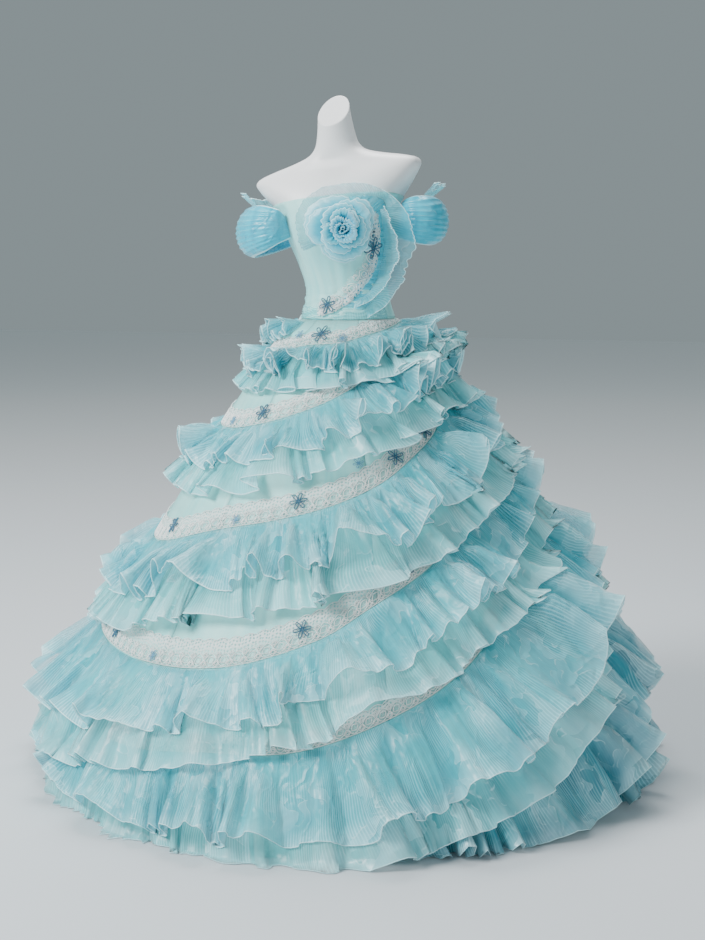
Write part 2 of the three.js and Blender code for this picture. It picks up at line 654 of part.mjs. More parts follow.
function tierLayer(name, tier, layer, material, seed) {
  const seam = (az) => (tier.span ? between(SEAMS[tier.seam], 'az', az).z : around(SEAMS[tier.seam], az).z);
  const fallAt = (az) => (tier.span ? between(tier.falls, 'az', az).fall : around(tier.falls, az).fall);
  const step = layer.step;
  const count = tier.span ? Math.round((tier.span[1] - tier.span[0]) / step) + 1 : 360 / step;
  const start = tier.span ? tier.span[0] : 0;
  const columns = Array.from({ length: count }, (_, j) => {
    const az = start + j * step;
    const way = fallDirection(seam, az);
    const fall = fallAt(az) * layer.share;
    const depth = unevenness(Math.floor(2 * j / layer.wave), seed) * layer.swing;
    const wave = Math.sin(2 * Math.PI * j / layer.wave) * depth;
    const column = layer.rows.map((share) => {
      const down = fall * share;
      const swell = lerp(WAVE_AT_SEAM, 1, share);
      const height = Math.max(layer.base + down * layer.flare + wave * down * swell, layer.base);
      return { az: az + way.turn * down, z: seam(az) - way.drop * down, height };
    });
    clearOfFloor(column);
    layOn(column, layer.gap, layer.reach);
    clearOfFloor(column);
    return column;
  });
  const cells = layer.rows.map((_, i) => columns.map((column) => column[i]));
  const closed = !tier.span;
  clearOfSkirt(cells, closed);
  addToCover(cells, ORGANZA, closed);
  const inner = onSkirt(cells);
  return wall(name, inner, movedOut(inner, ORGANZA, closed), closed, material);
}

const UNDER_LAYER = { step: STATION, wave: 5, base: SKIN_GAP, gap: 4, reach: 5 };
const UNDER_FLARE = 0.55;
const UPPER_LAYER = { step: STATION / 2, wave: 4, base: SKIN_GAP, gap: REST_GAP, reach: 3 };

function tiers() {
  const pieces = [];
  TIERS.forEach((tier, seed) => {
    if (tier.under > 0) {
      const flare = tier.flare * UNDER_FLARE;
      const under = { ...UNDER_LAYER, share: tier.under, rows: tier.rows, flare, swing: tier.ripple };
      pieces.push(tierLayer(`${tier.name}_under`, tier, under, PALE_AQUA, seed));
    }
    const upper = { ...UPPER_LAYER, share: tier.upper, rows: tier.rows, flare: tier.flare, swing: tier.swing };
    pieces.push(tierLayer(tier.under > 0 ? `${tier.name}_upper` : tier.name, tier, upper, AQUA, seed + 0.5));
  });
  return pieces;
}

// Collar: strips that stand off the bodice along a swirl
const COLLAR_GAP = 1.5;
const BODICE_RADIUS = 105;
const BODICE_LACE_HEIGHT = 2.2;
const BODICE_LACE_LOW_Z = WAIST_Z + 2;
function collar({ name, steps, swing, rows }) {
  const inner = grid(2, steps, (i, j) => {
    const place = along(rows, j / (steps - 1));
    const seam = bodiceAt(place.az, place.z, COLLAR_GAP);
    const edge = new THREE.Vector3(place.x, place.y - swing * Math.sin(Math.PI / 2 * j), place.edge);
    return i === 0 ? seam : edge;
  });
  return wall(name, inner, movedOut(inner, ORGANZA, false), false, PALE_AQUA);
}

function bodiceLace() {
  const steps = 18;
  const inner = grid(2, steps, (i, j) => {
    const place = along(BODICE_LACE, j / (steps - 1));
    const ahead = along(BODICE_LACE, Math.min(1, (j + 0.5) / (steps - 1)));
    const behind = along(BODICE_LACE, Math.max(0, (j - 0.5) / (steps - 1)));
    const [du, dv] = [degToRad(ahead.az - behind.az) * BODICE_RADIUS, ahead.z - behind.z];
    const side = (i - 0.5) * place.width / Math.hypot(du, dv);
    const z = Math.max(place.z + du * side, BODICE_LACE_LOW_Z);
    return bodiceAt(place.az - radToDeg(dv * side / BODICE_RADIUS), z, BODICE_LACE_HEIGHT);
  });
  return wall('bodice_lace', inner, movedOut(inner, LACE, false), false, LACE_WHITE);
}

const ROSE_REACH = 112;
const ROSE_RIM = 0.6;
function rose({ name, root, radius, rise, waves, swing }) {
  const steps = waves * 4;
  const inner = grid(2, steps, (i, j) => {
    const angle = j / steps * Math.PI * 2;
    const out = i === 0 ? root : radius + swing * Math.cos(angle * waves) * ROSE_RIM;
    const height = ROOT_GAP + (i === 0 ? 0 : rise + swing * Math.sin(angle * waves));
    const az = ROSE_AZ + radToDeg(out * Math.cos(angle) / ROSE_REACH);
    return bodiceAt(az, ROSE_Z + out * Math.sin(angle), height);
  });
  return wall(name, inner, movedOut(inner, ORGANZA, true), true, name === 'rose_core' ? ROSE_AQUA : AQUA);
}

// Sleeves: gathered bands from the front of the bodice round to its back
const SLEEVE_ROWS = 7;
const SLEEVE_STEPS = 13;
const SLEEVE_TILT = SHOULDER_TILT * 0.62;
const SLEEVE_LOOK = 0.02;
function sleevePoint({ side, rows }, share, across) {
  const place = along(rows, share);
  const ahead = along(rows, Math.min(1, share + SLEEVE_LOOK));
  const behind = along(rows, Math.max(0, share - SLEEVE_LOOK));
  const out = new THREE.Vector3(ahead.y - behind.y, behind.x - ahead.x, 0).normalize();
  const bulge = Math.cos(across * Math.PI / 2) * place.puff;
  const depth = SLEEVE_FOLD_DEPTH * Math.sin(Math.PI * share);
  const fold = Math.sin((across + 1) * Math.PI * SLEEVE_FOLDS) * depth;
  const z = (place.low + place.high) / 2 + across * (place.high - place.low) / 2;
  const x = place.x + out.x * (bulge + fold);
  return new THREE.Vector3(side * x, place.y + out.y * (bulge + fold), z + side * x * SLEEVE_TILT);
}

function sleeve(shape) {
  const end = (az, row) =>
    bodiceAt(shape.side * az, lerp(SLEEVE_END_LOW, SLEEVE_END_HIGH, row / (SLEEVE_ROWS - 1)), COLLAR_GAP);
  const inner = grid(SLEEVE_ROWS, SLEEVE_STEPS + 2, (i, j) => {
    if (j === 0) return end(shape.frontAz, i);
    if (j === SLEEVE_STEPS + 1) return end(shape.backAz, i);
    return sleevePoint(shape, (j - 1) / (SLEEVE_STEPS - 1), i / (SLEEVE_ROWS - 1) * 2 - 1);
  });
  return wall(`sleeve_${shape.name}`, inner, movedOut(inner, CLOTH, false), false, SLEEVE_AQUA);
}

const FRILL_LEAN = 8;
const FRILL_WAVE = 6;
const FRILL_RIPPLE = 0.3;
function sleeveFrill(shape) {
  const steps = 17;
  const inner = grid(2, steps, (i, j) => {
    const share = lerp(SLEEVE_FRILL.from, SLEEVE_FRILL.to, j / (steps - 1));
    const edge = sleevePoint(shape, share, 1);
    const outward = new THREE.Vector3(edge.x, edge.y, 0).normalize();
    const rise = SLEEVE_FRILL.seat + i * SLEEVE_FRILL.width;
    const wave = i * FRILL_WAVE * Math.sin(Math.PI / 2 * j);
    return edge.addScaledVector(outward, i * FRILL_LEAN + wave).setZ(edge.z + rise + wave * FRILL_RIPPLE);
  });
  return wall(`sleeve_frill_${shape.name}`, inner, movedOut(inner, ORGANZA, false), false, PALE_AQUA);
}

// Applique flowers with six petals, made from the points of the panel below
const PETALS = 6;
const PETAL_OUTLINE = table(['turn', 'reach'], [[-30, 0.4], [0, 1]]);
const FLOWER_LIFT = 0.35;
const FLOWER_BODY = 1.2;
function flower(name, size, place) {
  const rim = [];
  for (let k = 0; k < PETALS; k += 1) {
    for (const corner of PETAL_OUTLINE) {
      const angle = degToRad(k * 60 + corner.turn);
      rim.push([Math.cos(angle) * size * corner.reach, Math.sin(angle) * size * corner.reach]);
    }
  }
  const faces = [];
  const count = rim.length;
  const vertices = [...rim.map(([u, v]) => place(u, v, 0)), ...rim.map(([u, v]) => place(u, v, FLOWER_BODY)),
    place(0, 0, 0), place(0, 0, FLOWER_BODY)];
  for (let k = 0; k < count; k += 1) {
    const next = (k + 1) % count;
    faces.push([2 * count, next, k], [2 * count + 1, count + k, count + next]);
    faces.push([k, next, count + next], [k, count + next, count + k]);
  }
  return solid(name, vertices, faces, FLOWER_BLUE);
}

function flowers() {
  const onTheSkirt = FLOWERS.map(({ seam, az, rise }, i) => {
    const z = around(SEAMS[seam], az).z + rise;
    const radius = skirtAt(az, z).setZ(0).length();
    const turn = radToDeg(FLOWER_RADIUS / radius);
    const lift = FLOWER_LIFT + coverAt(az, z, Math.ceil(turn));
    const cells = grid(2, 2, (a, b) =>
      ({ az: az + (b * 2 - 1) * turn, z: z + (1 - a * 2) * FLOWER_RADIUS, height: lift }));
    addToCover(cells, FLOWER_BODY, false);
    return flower(`flower_${i + 1}`, FLOWER_RADIUS, (u, v, height) =>
      skirtAt(az + radToDeg(u / radius), z + v * Math.cos(CONE_LIFT), lift + height));
  });
  const onTheBodice = BODICE_FLOWERS.map(({ az, z, size, lift }, i) =>
    flower(`bodice_flower_${i + 1}`, size, (u, v, height) =>
      bodiceAt(az + radToDeg(u / BODICE_RADIUS), z + v, lift + height)));
  return [...onTheSkirt, ...onTheBodice];
}

const gown = new THREE.Group();
gown.add(...dressForm());
gown.add(...bodice());
gown.add(...skirt());
gown.add(...LACES.map(laceBand));
gown.add(...flowers());
gown.add(...tiers());
gown.add(...COLLARS.map(collar));
gown.add(bodiceLace());
gown.add(...ROSE.map(rose));
gown.add(...SLEEVES.map(sleeve), ...SLEEVES.map(sleeveFrill));

export default gown;
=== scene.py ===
# %% [markdown]
# # A ball gown with tilted organza tiers, on a dress form
#
# The gown is off the shoulder, with a satin bodice and skirt under five tilted double ruffles of
# crystal organza, a train, lace bands, a swirled collar and a fabric rose. It stands on a white
# limbless form. The frame holds it as plain solids. Most pieces below take the place of a solid,
# which their own lines name, and the rest lie on one.

# %% Load the frame
import math

import bpy
import numpy as np
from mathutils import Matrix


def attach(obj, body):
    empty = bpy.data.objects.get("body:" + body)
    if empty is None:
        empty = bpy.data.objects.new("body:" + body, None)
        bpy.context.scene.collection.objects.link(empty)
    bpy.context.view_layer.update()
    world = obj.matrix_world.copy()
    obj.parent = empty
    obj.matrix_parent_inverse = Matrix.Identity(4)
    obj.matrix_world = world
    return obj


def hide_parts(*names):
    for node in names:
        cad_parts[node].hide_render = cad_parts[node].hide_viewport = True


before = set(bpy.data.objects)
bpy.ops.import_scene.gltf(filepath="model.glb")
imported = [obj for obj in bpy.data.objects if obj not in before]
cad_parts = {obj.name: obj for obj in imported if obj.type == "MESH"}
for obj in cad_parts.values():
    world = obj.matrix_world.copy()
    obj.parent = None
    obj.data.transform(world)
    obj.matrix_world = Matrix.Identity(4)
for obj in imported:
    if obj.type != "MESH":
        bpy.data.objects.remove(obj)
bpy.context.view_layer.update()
MM = 0.001

# %% [markdown]
# The camera stands a little to the gown's left, at chest height, and looks slightly down. It comes
# first, because everything else is judged through it.

# %% Camera
CAMERA_PLACE = (1.1363, -3.6263, 1.235)
CAMERA_PITCH_DEG = 90 - 8.1
CAMERA_TURN_DEG = 17
CAMERA_LENS_MM = 63.2

camera = bpy.data.objects.new("camera", bpy.data.cameras.new("camera"))
camera.location = CAMERA_PLACE
camera.rotation_euler = (math.radians(CAMERA_PITCH_DEG), 0, math.radians(CAMERA_TURN_DEG))
camera.data.lens = CAMERA_LENS_MM
bpy.context.scene.collection.objects.link(camera)
bpy.context.scene.camera = camera
print("camera:", CAMERA_PLACE)

# %% [markdown]
# Most shapes here follow short tables, a row for each section. A smooth curve through the rows gives
# every place between them, and the same curve can close into a ring. Blender's own curves could do
# this too, but a table is easier to read, and numpy finds all of its places at once.

# %% Reading tables
def ease(rows, at, period=None):
    """A smooth curve through the rows of a table, whose first column is the place. Between two rows
    it is a cubic whose slope at each row is the slope between that row's two neighbours. With a
    period, the rows repeat."""
    rows = np.asarray(rows, float)
    at = np.asarray(at, float)
    if period:
        step = np.zeros(rows.shape[1])
        step[0] = period
        at = (at - rows[0, 0]) % period + rows[0, 0]
        rows = np.vstack([rows[-2:] - step, rows, rows[:2] + step])
    x, y = rows[:, 0], rows[:, 1:]
    before, after = np.r_[0, np.arange(len(x) - 1)], np.r_[np.arange(1, len(x)), len(x) - 1]
    slope = (y[after] - y[before]) / (x[after] - x[before])[:, None]
    at = np.clip(at, x[0], x[-1])
    i = np.clip(np.searchsorted(x, at, side="right") - 1, 0, len(x) - 2)
    span = (x[i + 1] - x[i])[..., None]
    t = (at - x[i])[..., None] / span
    keep = (1 + 2 * t) * (1 - t) ** 2
    bend = slope[i] * (1 - t) - slope[i + 1] * t
    return y[i] * keep + y[i + 1] * (1 - keep) + bend * span * t * (1 - t)


def along(rows, share):
    """The same curve by row number, from share 0 at the first row to 1 at the last."""
    rows = np.asarray(rows, float)
    numbered = np.column_stack([np.arange(len(rows)), rows])
    return ease(numbered, np.asarray(share) * (len(rows) - 1))


def smooth(value, low, high):
    """0 below low, 1 above high, and an S-shaped cubic between them."""
    t = np.clip((value - low) / (high - low), 0, 1)
    return t * t * (3 - 2 * t)


def power(value, exponent):
    """A power that keeps the value's sign."""
    return np.sign(value) * np.abs(value) ** exponent


# %% [markdown]
# Cloth is never even. These two functions give waves that wander: a sum of sines with whole numbers
# of turns, so that a ring of cloth still closes, and folds with flat sides and a crisp top, as stiff
# organza has. Noise would be simpler, but a ring of it doesn't close, and its folds are all soft.

# %% Uneven waves and crisp folds
WANDER_TERMS = 9


def wander(az, down, seed, fewest, most, lean=0.0):
    """A sum of sines of the azimuth, divided so that its spread is 1. Each makes from fewest to most
    whole turns a ring, and its phase leans as the cloth falls."""
    draw = np.random.default_rng(seed)
    turns = draw.integers(fewest, most + 1, WANDER_TERMS)
    phase = draw.uniform(0, 2 * np.pi, WANDER_TERMS)
    tilt = draw.normal(0, lean, WANDER_TERMS)
    az, down = np.broadcast_arrays(np.radians(az), down)
    waves = np.sin(az[..., None] * turns + phase + down[..., None] * tilt)
    return waves.sum(-1) / math.sqrt(WANDER_TERMS / 2)


FOLD_CRISPNESS = 0.98


def crisp(angle):
    """A wave with flat sides: the arcsine of a sine that is held just short of its full swing."""
    return np.arcsin(FOLD_CRISPNESS * np.sin(angle)) / math.asin(FOLD_CRISPNESS)


# %% [markdown]
# The dress form's sections are squared-off ovals. The neck leans forward and the shoulders drop to
# the gown's right. It could be sculpted. Ovals from a table are used, because the bodice, its trim and
# the sleeves can then find the same surface from an azimuth and a height, and lie on it.

# %% The figure's surface
WAIST_Z = 1048
NECKLINE_FRONT_Z, NECKLINE_DROP = 1322, 24
SHOULDER_TILT = math.tan(math.radians(7.5))
TILT_START_Z, TILT_END_Z = 1180, 1380
NECK_BASE_Z, NECK_TOP_Z, NECK_CUT_Z = 1450, 1580, 1518
NECK_CUT_SLOPE = math.tan(math.radians(50))
NECK_LEAN = 40
SKIN_GAP, CLOTH = 0.6, 1.4

# z, half width, front depth, back depth, squareness, shift
FIGURE = [
    [930, 148, 100, 106, 2.1, 16], [1000, 128, 94, 98, 2.0, 18], [1048, 106, 91, 91, 2.0, 18],
    [1110, 93, 76, 74, 2.0, 15], [1170, 103, 88, 78, 2.1, 8], [1220, 117, 108, 86, 2.2, 3],
    [1260, 123, 116, 90, 2.3, 0], [1290, 132, 108, 92, 2.4, -2], [1320, 156, 94, 92, 2.5, -4],
    [1340, 172, 84, 90, 2.6, -5], [1360, 186, 72, 84, 2.7, -6], [1374, 192, 62, 76, 2.8, -7],
    [1386, 182, 54, 70, 2.7, -7], [1396, 150, 50, 64, 2.5, -7], [1406, 108, 46, 60, 2.3, -7],
    [1418, 70, 45, 55, 2.1, -7], [1432, 53, 44, 51, 2.0, -7], [1450, 45, 42, 47, 2.0, -7],
    [1500, 37, 37, 41, 2.0, -7], [1580, 31, 33, 35, 2.0, -7],
]


def figure(az, z):
    """A point of the form: an oval of the table's sizes whose sine and cosine are raised to two over
    the squareness, tilted at the shoulders and leaning forward at the neck."""
    az, z = np.broadcast_arrays(np.asarray(az, float), np.asarray(z, float))
    half, front, back, square, shift = np.moveaxis(ease(FIGURE, z), -1, 0)
    sine, cosine = np.sin(np.radians(az)), np.cos(np.radians(az))
    x = shift + half * power(sine, 2 / square)
    depth = np.where(cosine > 0, front, back)
    y = -depth * power(cosine, 2 / square) - NECK_LEAN * smooth(z, TILT_END_Z, NECK_TOP_Z)
    return np.stack([x, y, z + x * SHOULDER_TILT * smooth(z, TILT_START_Z, TILT_END_Z)], -1)


def figure_normal(az, z):
    """Square to the form's surface: the cross product of a step round it and a step up it."""
    turn, rise = 2.0, 4.0
    across = figure(az + turn, z) - figure(az - turn, z)
    up = figure(az, z + rise) - figure(az, z - rise)
    normal = np.cross(across, up)
    return normal / np.linalg.norm(normal, axis=-1, keepdims=True)


def neckline_z(az):
    """The bodice's top edge, lower at the back by a cosine."""
    return NECKLINE_FRONT_Z - NECKLINE_DROP * (1 - np.cos(np.radians(az))) / 2


def on_bodice(az, z, height=0.0):
    """A point at a height over the bodice's outer face."""
    az, z, height = np.broadcast_arrays(*(np.asarray(v, float) for v in (az, z, height)))
    return figure(az, z) + figure_normal(az, z) * (SKIN_GAP + CLOTH + height)[..., None]


# %% [markdown]
# The skirt is a bell that is fuller behind. Heights over it are taken square to its side, which
# leans 29 degrees, so the ruffles can be given as heights on a plain map of azimuth and z. That keeps
# thirteen layers of ruffle in order, which is hard to do with free shapes in space.

# %% The skirt's surface
CONE_LIFT = math.radians(29)
HEM_CLEARANCE = 2.5

# z, radius, extra fullness behind, depth ratio, shift
SKIRT = [
    [-160, 664, 78, 1, 0], [0, 652, 76, 1, 0], [70, 644, 76, 1, 0], [170, 620, 78, 1, 0],
    [340, 543, 84, 1, 0], [560, 408, 80, 1, 0], [740, 304, 65, 1, 2], [890, 219, 38, 0.98, 6],
    [970, 173, 20, 0.94, 11], [1016, 143, 8, 0.9, 15], [1048, 107.6, 0, 0.86, 18],
]


def skirt_ring(az, z):
    """A ring of the bell at a height: the radius grows towards the back by a power of a cosine."""
    az, z = np.broadcast_arrays(np.asarray(az, float), np.asarray(z, float))
    radius, back, depth, shift = np.moveaxis(ease(SKIRT, z), -1, 0)
    radius = radius + back * ((1 - np.cos(np.radians(az))) / 2) ** 1.5
    turn = np.radians(az)
    return np.stack([shift + radius * np.sin(turn), -radius * depth * np.cos(turn), z], -1)


def on_skirt(az, z, height=0.0):
    """A point at a height over the bell, square to its side."""
    az, z, height = np.broadcast_arrays(*(np.asarray(v, float) for v in (az, z, height)))
    turn, level = np.radians(az), math.cos(CONE_LIFT)
    out = np.stack([np.sin(turn) * level, -np.cos(turn) * level, np.full(az.shape, math.sin(CONE_LIFT))], -1)
    return skirt_ring(az, z) + out * height[..., None]


def ring_radius(az, z):
    """The bell's distance from its axis, seen from above."""
    return np.hypot(*np.moveaxis(skirt_ring(az, z)[..., :2], -1, 0))


# %% [markdown]
# Every cloth piece is a grid of points with a thin wall. The wall's two faces lie half a thickness
# either side of the grid, closed at the edges, and the UV map holds the cloth's own length and
# width in metres, so that ribs and weave keep their real size. A Solidify modifier could give the
# wall. It is worked out here instead, so that a rolled hem can be thicker than the rest of its cloth.

# %% From grids to thin walls
LOOSE_EDGE, RIDGE = "edge", "ridge"
TOTALS = {"triangles": 0}


def grid_normals(points, closed):
    """Square to a grid of points: the cross product of its two directions."""
    down = np.gradient(points, axis=0)
    across = (np.roll(points, -1, 1) - np.roll(points, 1, 1)) / 2 if closed else np.gradient(points, axis=1)
    normal = np.cross(across, down)
    return normal / np.maximum(np.linalg.norm(normal, axis=-1, keepdims=True), 1e-9)


def cloth_lengths(points, closed):
    """For each point, its distance along its row and down its column, in the units of the points."""
    ring = np.concatenate([points, points[:, :1]], 1) if closed else points
    steps = np.linalg.norm(np.diff(ring, axis=1), axis=-1)
    width = np.concatenate([np.zeros((len(ring), 1)), np.cumsum(steps, 1)], 1)
    falls = np.linalg.norm(np.diff(ring, axis=0), axis=-1)
    length = np.concatenate([np.zeros((1, ring.shape[1])), np.cumsum(falls, 0)], 0)
    return width, length


def make_object(name, vertices, faces, uv=None, marks=None):
    """A mesh in metres from vertices in millimetres and an array of faces with four corners each."""
    mesh = bpy.data.meshes.new(name)
    mesh.vertices.add(len(vertices))
    mesh.vertices.foreach_set("co", (vertices * MM).astype(np.float32).ravel())
    mesh.loops.add(faces.size)
    mesh.loops.foreach_set("vertex_index", faces.ravel().astype(np.int32))
    mesh.polygons.add(len(faces))
    mesh.polygons.foreach_set("loop_start", np.arange(0, faces.size, faces.shape[1], dtype=np.int32))
    mesh.polygons.foreach_set("loop_total", np.full(len(faces), faces.shape[1], np.int32))
    mesh.update(calc_edges=True)
    mesh.polygons.foreach_set("use_smooth", np.ones(len(faces), bool))
    if uv is not None:
        layer = mesh.uv_layers.new(name="cloth")
        layer.data.foreach_set("uv", (uv * MM).astype(np.float32).ravel())
    for mark, values in (marks or {}).items():
        data = mesh.attributes.new(mark, "FLOAT", "POINT").data
        data.foreach_set("value", values.astype(np.float32).ravel())
    piece = bpy.data.objects.new(name, mesh)
    bpy.context.scene.collection.objects.link(piece)
    TOTALS["triangles"] += len(faces) * (faces.shape[1] - 2)
    return piece


def outward(vertices, faces):
    """The faces turned so that the closed shape's volume is positive."""
    a, b, c = vertices[faces[:, 0]], vertices[faces[:, 1]], vertices[faces[:, 2]]
    volume = np.einsum("ij,ij->", a, np.cross(b, c))
    if faces.shape[1] == 4:
        volume += np.einsum("ij,ij->", a, np.cross(c, vertices[faces[:, 3]]))
    return volume > 0


def thin_wall(name, points, thickness, closed=False, edge=0.0, ridge=0.5):
    """A closed wall round a grid of points. The thickness may differ from row to row. The edge mark
    is 1 at a rolled hem, and the ridge mark goes from 0 in a valley to 1 on a fold's top."""
    rows, columns = points.shape[:2]
    thickness = np.broadcast_to(np.asarray(thickness, float).reshape(-1, 1, 1), (rows, 1, 1))
    step = grid_normals(points, closed) * thickness / 2
    vertices = np.concatenate([(points + step).reshape(-1, 3), (points - step).reshape(-1, 3)])
    marks = {key: np.tile(np.broadcast_to(value, (rows, columns)), (2, 1))
             for key, value in ((LOOSE_EDGE, edge), (RIDGE, ridge))}
    width, length = cloth_lengths(points, closed)
    spans = columns if closed else columns - 1
    i, j = np.meshgrid(np.arange(rows - 1), np.arange(spans), indexing="ij")
    i, j = i.ravel(), j.ravel()

    def corners(side, di, dj):
        """Each face's corner as a vertex number and as a place on the UV map."""
        number = side * rows * columns + (i + di) * columns + (j + dj) % columns
        return number, (i + di) * width.shape[1] + j + dj

    flat = np.stack([np.broadcast_to(width.mean(0), width.shape).ravel(), length.ravel()], -1)
    quads, places = [], []

    def add(chosen):
        """Faces from four corners each, and their places on the UV map."""
        quads.append(np.stack([c[0] for c in chosen], -1))
        places.append(np.stack([c[1] for c in chosen], -1))

    add([corners(0, 0, 0), corners(0, 1, 0), corners(0, 1, 1), corners(0, 0, 1)])
    add([corners(1, 0, 0), corners(1, 0, 1), corners(1, 1, 1), corners(1, 1, 0)])
    rims = [(i == 0, 0, (0, 1)), (i == rows - 2, 1, (1, 0))]
    for chosen, di, (left, right) in rims:
        rim = [corners(0, di, left), corners(0, di, right), corners(1, di, right), corners(1, di, left)]
        add([(c[0][chosen], c[1][chosen]) for c in rim])
    if not closed:
        for chosen, dj, (low, high) in [(j == 0, 0, (1, 0)), (j == spans - 1, 1, (0, 1))]:
            rim = [corners(0, low, dj), corners(0, high, dj), corners(1, high, dj), corners(1, low, dj)]
            add([(c[0][chosen], c[1][chosen]) for c in rim])
    faces, places = np.concatenate(quads), np.concatenate(places)
    if not outward(vertices, faces):
        faces, places = faces[:, ::-1], places[:, ::-1]
    uv = flat[places.ravel()]
    return make_object(name, vertices, np.ascontiguousarray(faces), uv, marks)


# %% [markdown]
# A piece is finished the same way each time: it rides on the one body, stands for its solids and
# takes its material.

# %% Rolled hems
HEM_ROLL, HEM_THICKNESS, ORGANZA_THICKNESS = 1.7, 1.3, 0.4


def hem_rows(count, roll=0.03):
    """Shares from a seam to a rolled hem, whose last three rows lie close together."""
    return np.r_[np.linspace(0, 1, count)[:-1], 1 - 1.6 * roll, 1 - roll, 1][:, None]


def hem_values(rows, plain, rolled):
    """A value for each row: plain ones, and the rolled hem's on the last two."""
    return np.where(np.arange(rows) >= rows - 2, rolled, plain)


# %% Dressing a piece
def dress(piece, material, nodes=()):
    """Gives a piece its material, and says which solids it stands for."""
    piece.data.materials.append(material)
    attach(piece, "root")
    if nodes:
        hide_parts(*nodes)
    return piece


def cloth_piece(name, points, thickness, material, nodes=(), closed=False,
                edge=0.0, ridge=0.5):
    """One piece of cloth: a thin wall round its grid, its material and the solids it stands for."""
    piece = dress(thin_wall(name, points, thickness, closed, edge, ridge), material, nodes)
    return piece


# %% [markdown]
# ## Finishes
#
# The organza is see-through, with fine ribs, a narrow bright hem and a dye that deepens in patches.
# Its colour also holds painted shade in the valleys of its folds and painted highlights on their
# tops, facets and creases.
# A thin wall has two faces, and the one that faces away is hidden, so each layer counts once.
# Transmission would look much the same and take far longer through so many layers, so the cloth's
# opacity is its Alpha. All patterns are procedural and follow the cloth's UV map, which has only two
# directions. Ribs, dye, weave and crushed facets are node groups, because several cloths share them.

# %% Building node trees
def put(tree, kind, inputs=None, **settings):
    """Adds a node. Inputs are given by name or number, each a plain value or another node's socket."""
    node = tree.nodes.new(kind)
    for key, value in settings.items():
        setattr(node, key, value)
    for key, value in (inputs or {}).items():
        if isinstance(value, bpy.types.NodeSocket):
            tree.links.new(value, node.inputs[key])
        else:
            node.inputs[key].default_value = value
    return node


def calc(tree, operation, *values):
    """The socket of a Math node."""
    return put(tree, "ShaderNodeMath", dict(enumerate(values)), operation=operation).outputs[0]


def remap(tree, value, low, high, to_low=0.0, to_high=1.0):
    """The socket of a smooth Map Range node."""
    return put(tree, "ShaderNodeMapRange", {0: value, 1: low, 2: high, 3: to_low, 4: to_high},
               interpolation_type="SMOOTHSTEP").outputs[0]


def blend(tree, factor, first, second):
    """The socket of a Mix node for two colours."""
    node = put(tree, "ShaderNodeMix", {0: factor}, data_type="RGBA")
    for socket, value in ((node.inputs[6], first), (node.inputs[7], second)):
        if isinstance(value, bpy.types.NodeSocket):
            tree.links.new(value, socket)
        else:
            socket.default_value = value
    return node.outputs[2]


def group(name, inputs, outputs):
    """An empty shader node group with named sockets, and its input and output nodes."""
    tree = bpy.data.node_groups.new(name, "ShaderNodeTree")
    for socket, kind in inputs.items():
        tree.interface.new_socket(socket, in_out="INPUT", socket_type=kind)
    for socket, kind in outputs.items():
        tree.interface.new_socket(socket, in_out="OUTPUT", socket_type=kind)
    return tree, tree.nodes.new("NodeGroupInput").outputs, tree.nodes.new("NodeGroupOutput").inputs


def filled(tree, shared, inputs):
    """A shared group placed in a material's tree, with its inputs given by name."""
    return put(tree, "ShaderNodeGroup", inputs, node_tree=shared)


# %% Shared effects
FLOAT, COLOR, VECTOR = "NodeSocketFloat", "NodeSocketColor", "NodeSocketVector"


def cloth_noise(tree, cloth, scale, detail=0.0):
    """Soft noise over the flat cloth, which needs only two directions."""
    inputs = {"Vector": cloth, "Scale": scale, "Detail": detail}
    return put(tree, "ShaderNodeTexNoise", inputs, noise_dimensions="2D")


def ribs_group():
    """Fine ribs across the first direction of the cloth: a saw of the given pitch, folded and
    softened, fading in and out in patches."""
    tree, given, made = group("fine ribs", {"Cloth": VECTOR, "Pitch": FLOAT}, {"Rib": FLOAT})
    place = put(tree, "ShaderNodeSeparateXYZ", {0: given["Cloth"]})
    drift = cloth_noise(tree, given["Cloth"], 9.0)
    bent = calc(tree, "MULTIPLY_ADD", drift.outputs["Fac"], 0.02, place.outputs["X"])
    saw = calc(tree, "PINGPONG", calc(tree, "DIVIDE", bent, given["Pitch"]), 0.5)
    line = remap(tree, saw, 0.22, 0.4)
    patches = cloth_noise(tree, given["Cloth"], 9.0, 1.0)
    where = remap(tree, patches.outputs["Fac"], 0.4, 0.6, 0.1, 1.0)
    tree.links.new(calc(tree, "MULTIPLY", line, where), made["Rib"])
    return tree


def dye_group():
    """Two tones of one dye, mixed by soft patches and by streaks that run down the cloth."""
    tree, given, made = group("uneven dye", {"Cloth": VECTOR, "Pale": COLOR, "Deep": COLOR}, {"Color": COLOR})
    patches = cloth_noise(tree, given["Cloth"], 6.0, 2.0)
    stretched = put(tree, "ShaderNodeMapping", {"Vector": given["Cloth"], "Scale": (60.0, 6.0, 1.0)})
    streaks = cloth_noise(tree, stretched.outputs[0], 1.0, 1.0)
    mixed = calc(tree, "ADD", patches.outputs["Fac"], calc(tree, "MULTIPLY", streaks.outputs["Fac"], 0.5))
    tree.links.new(blend(tree, remap(tree, mixed, 0.5, 1.0), given["Pale"], given["Deep"]), made["Color"])
    return tree


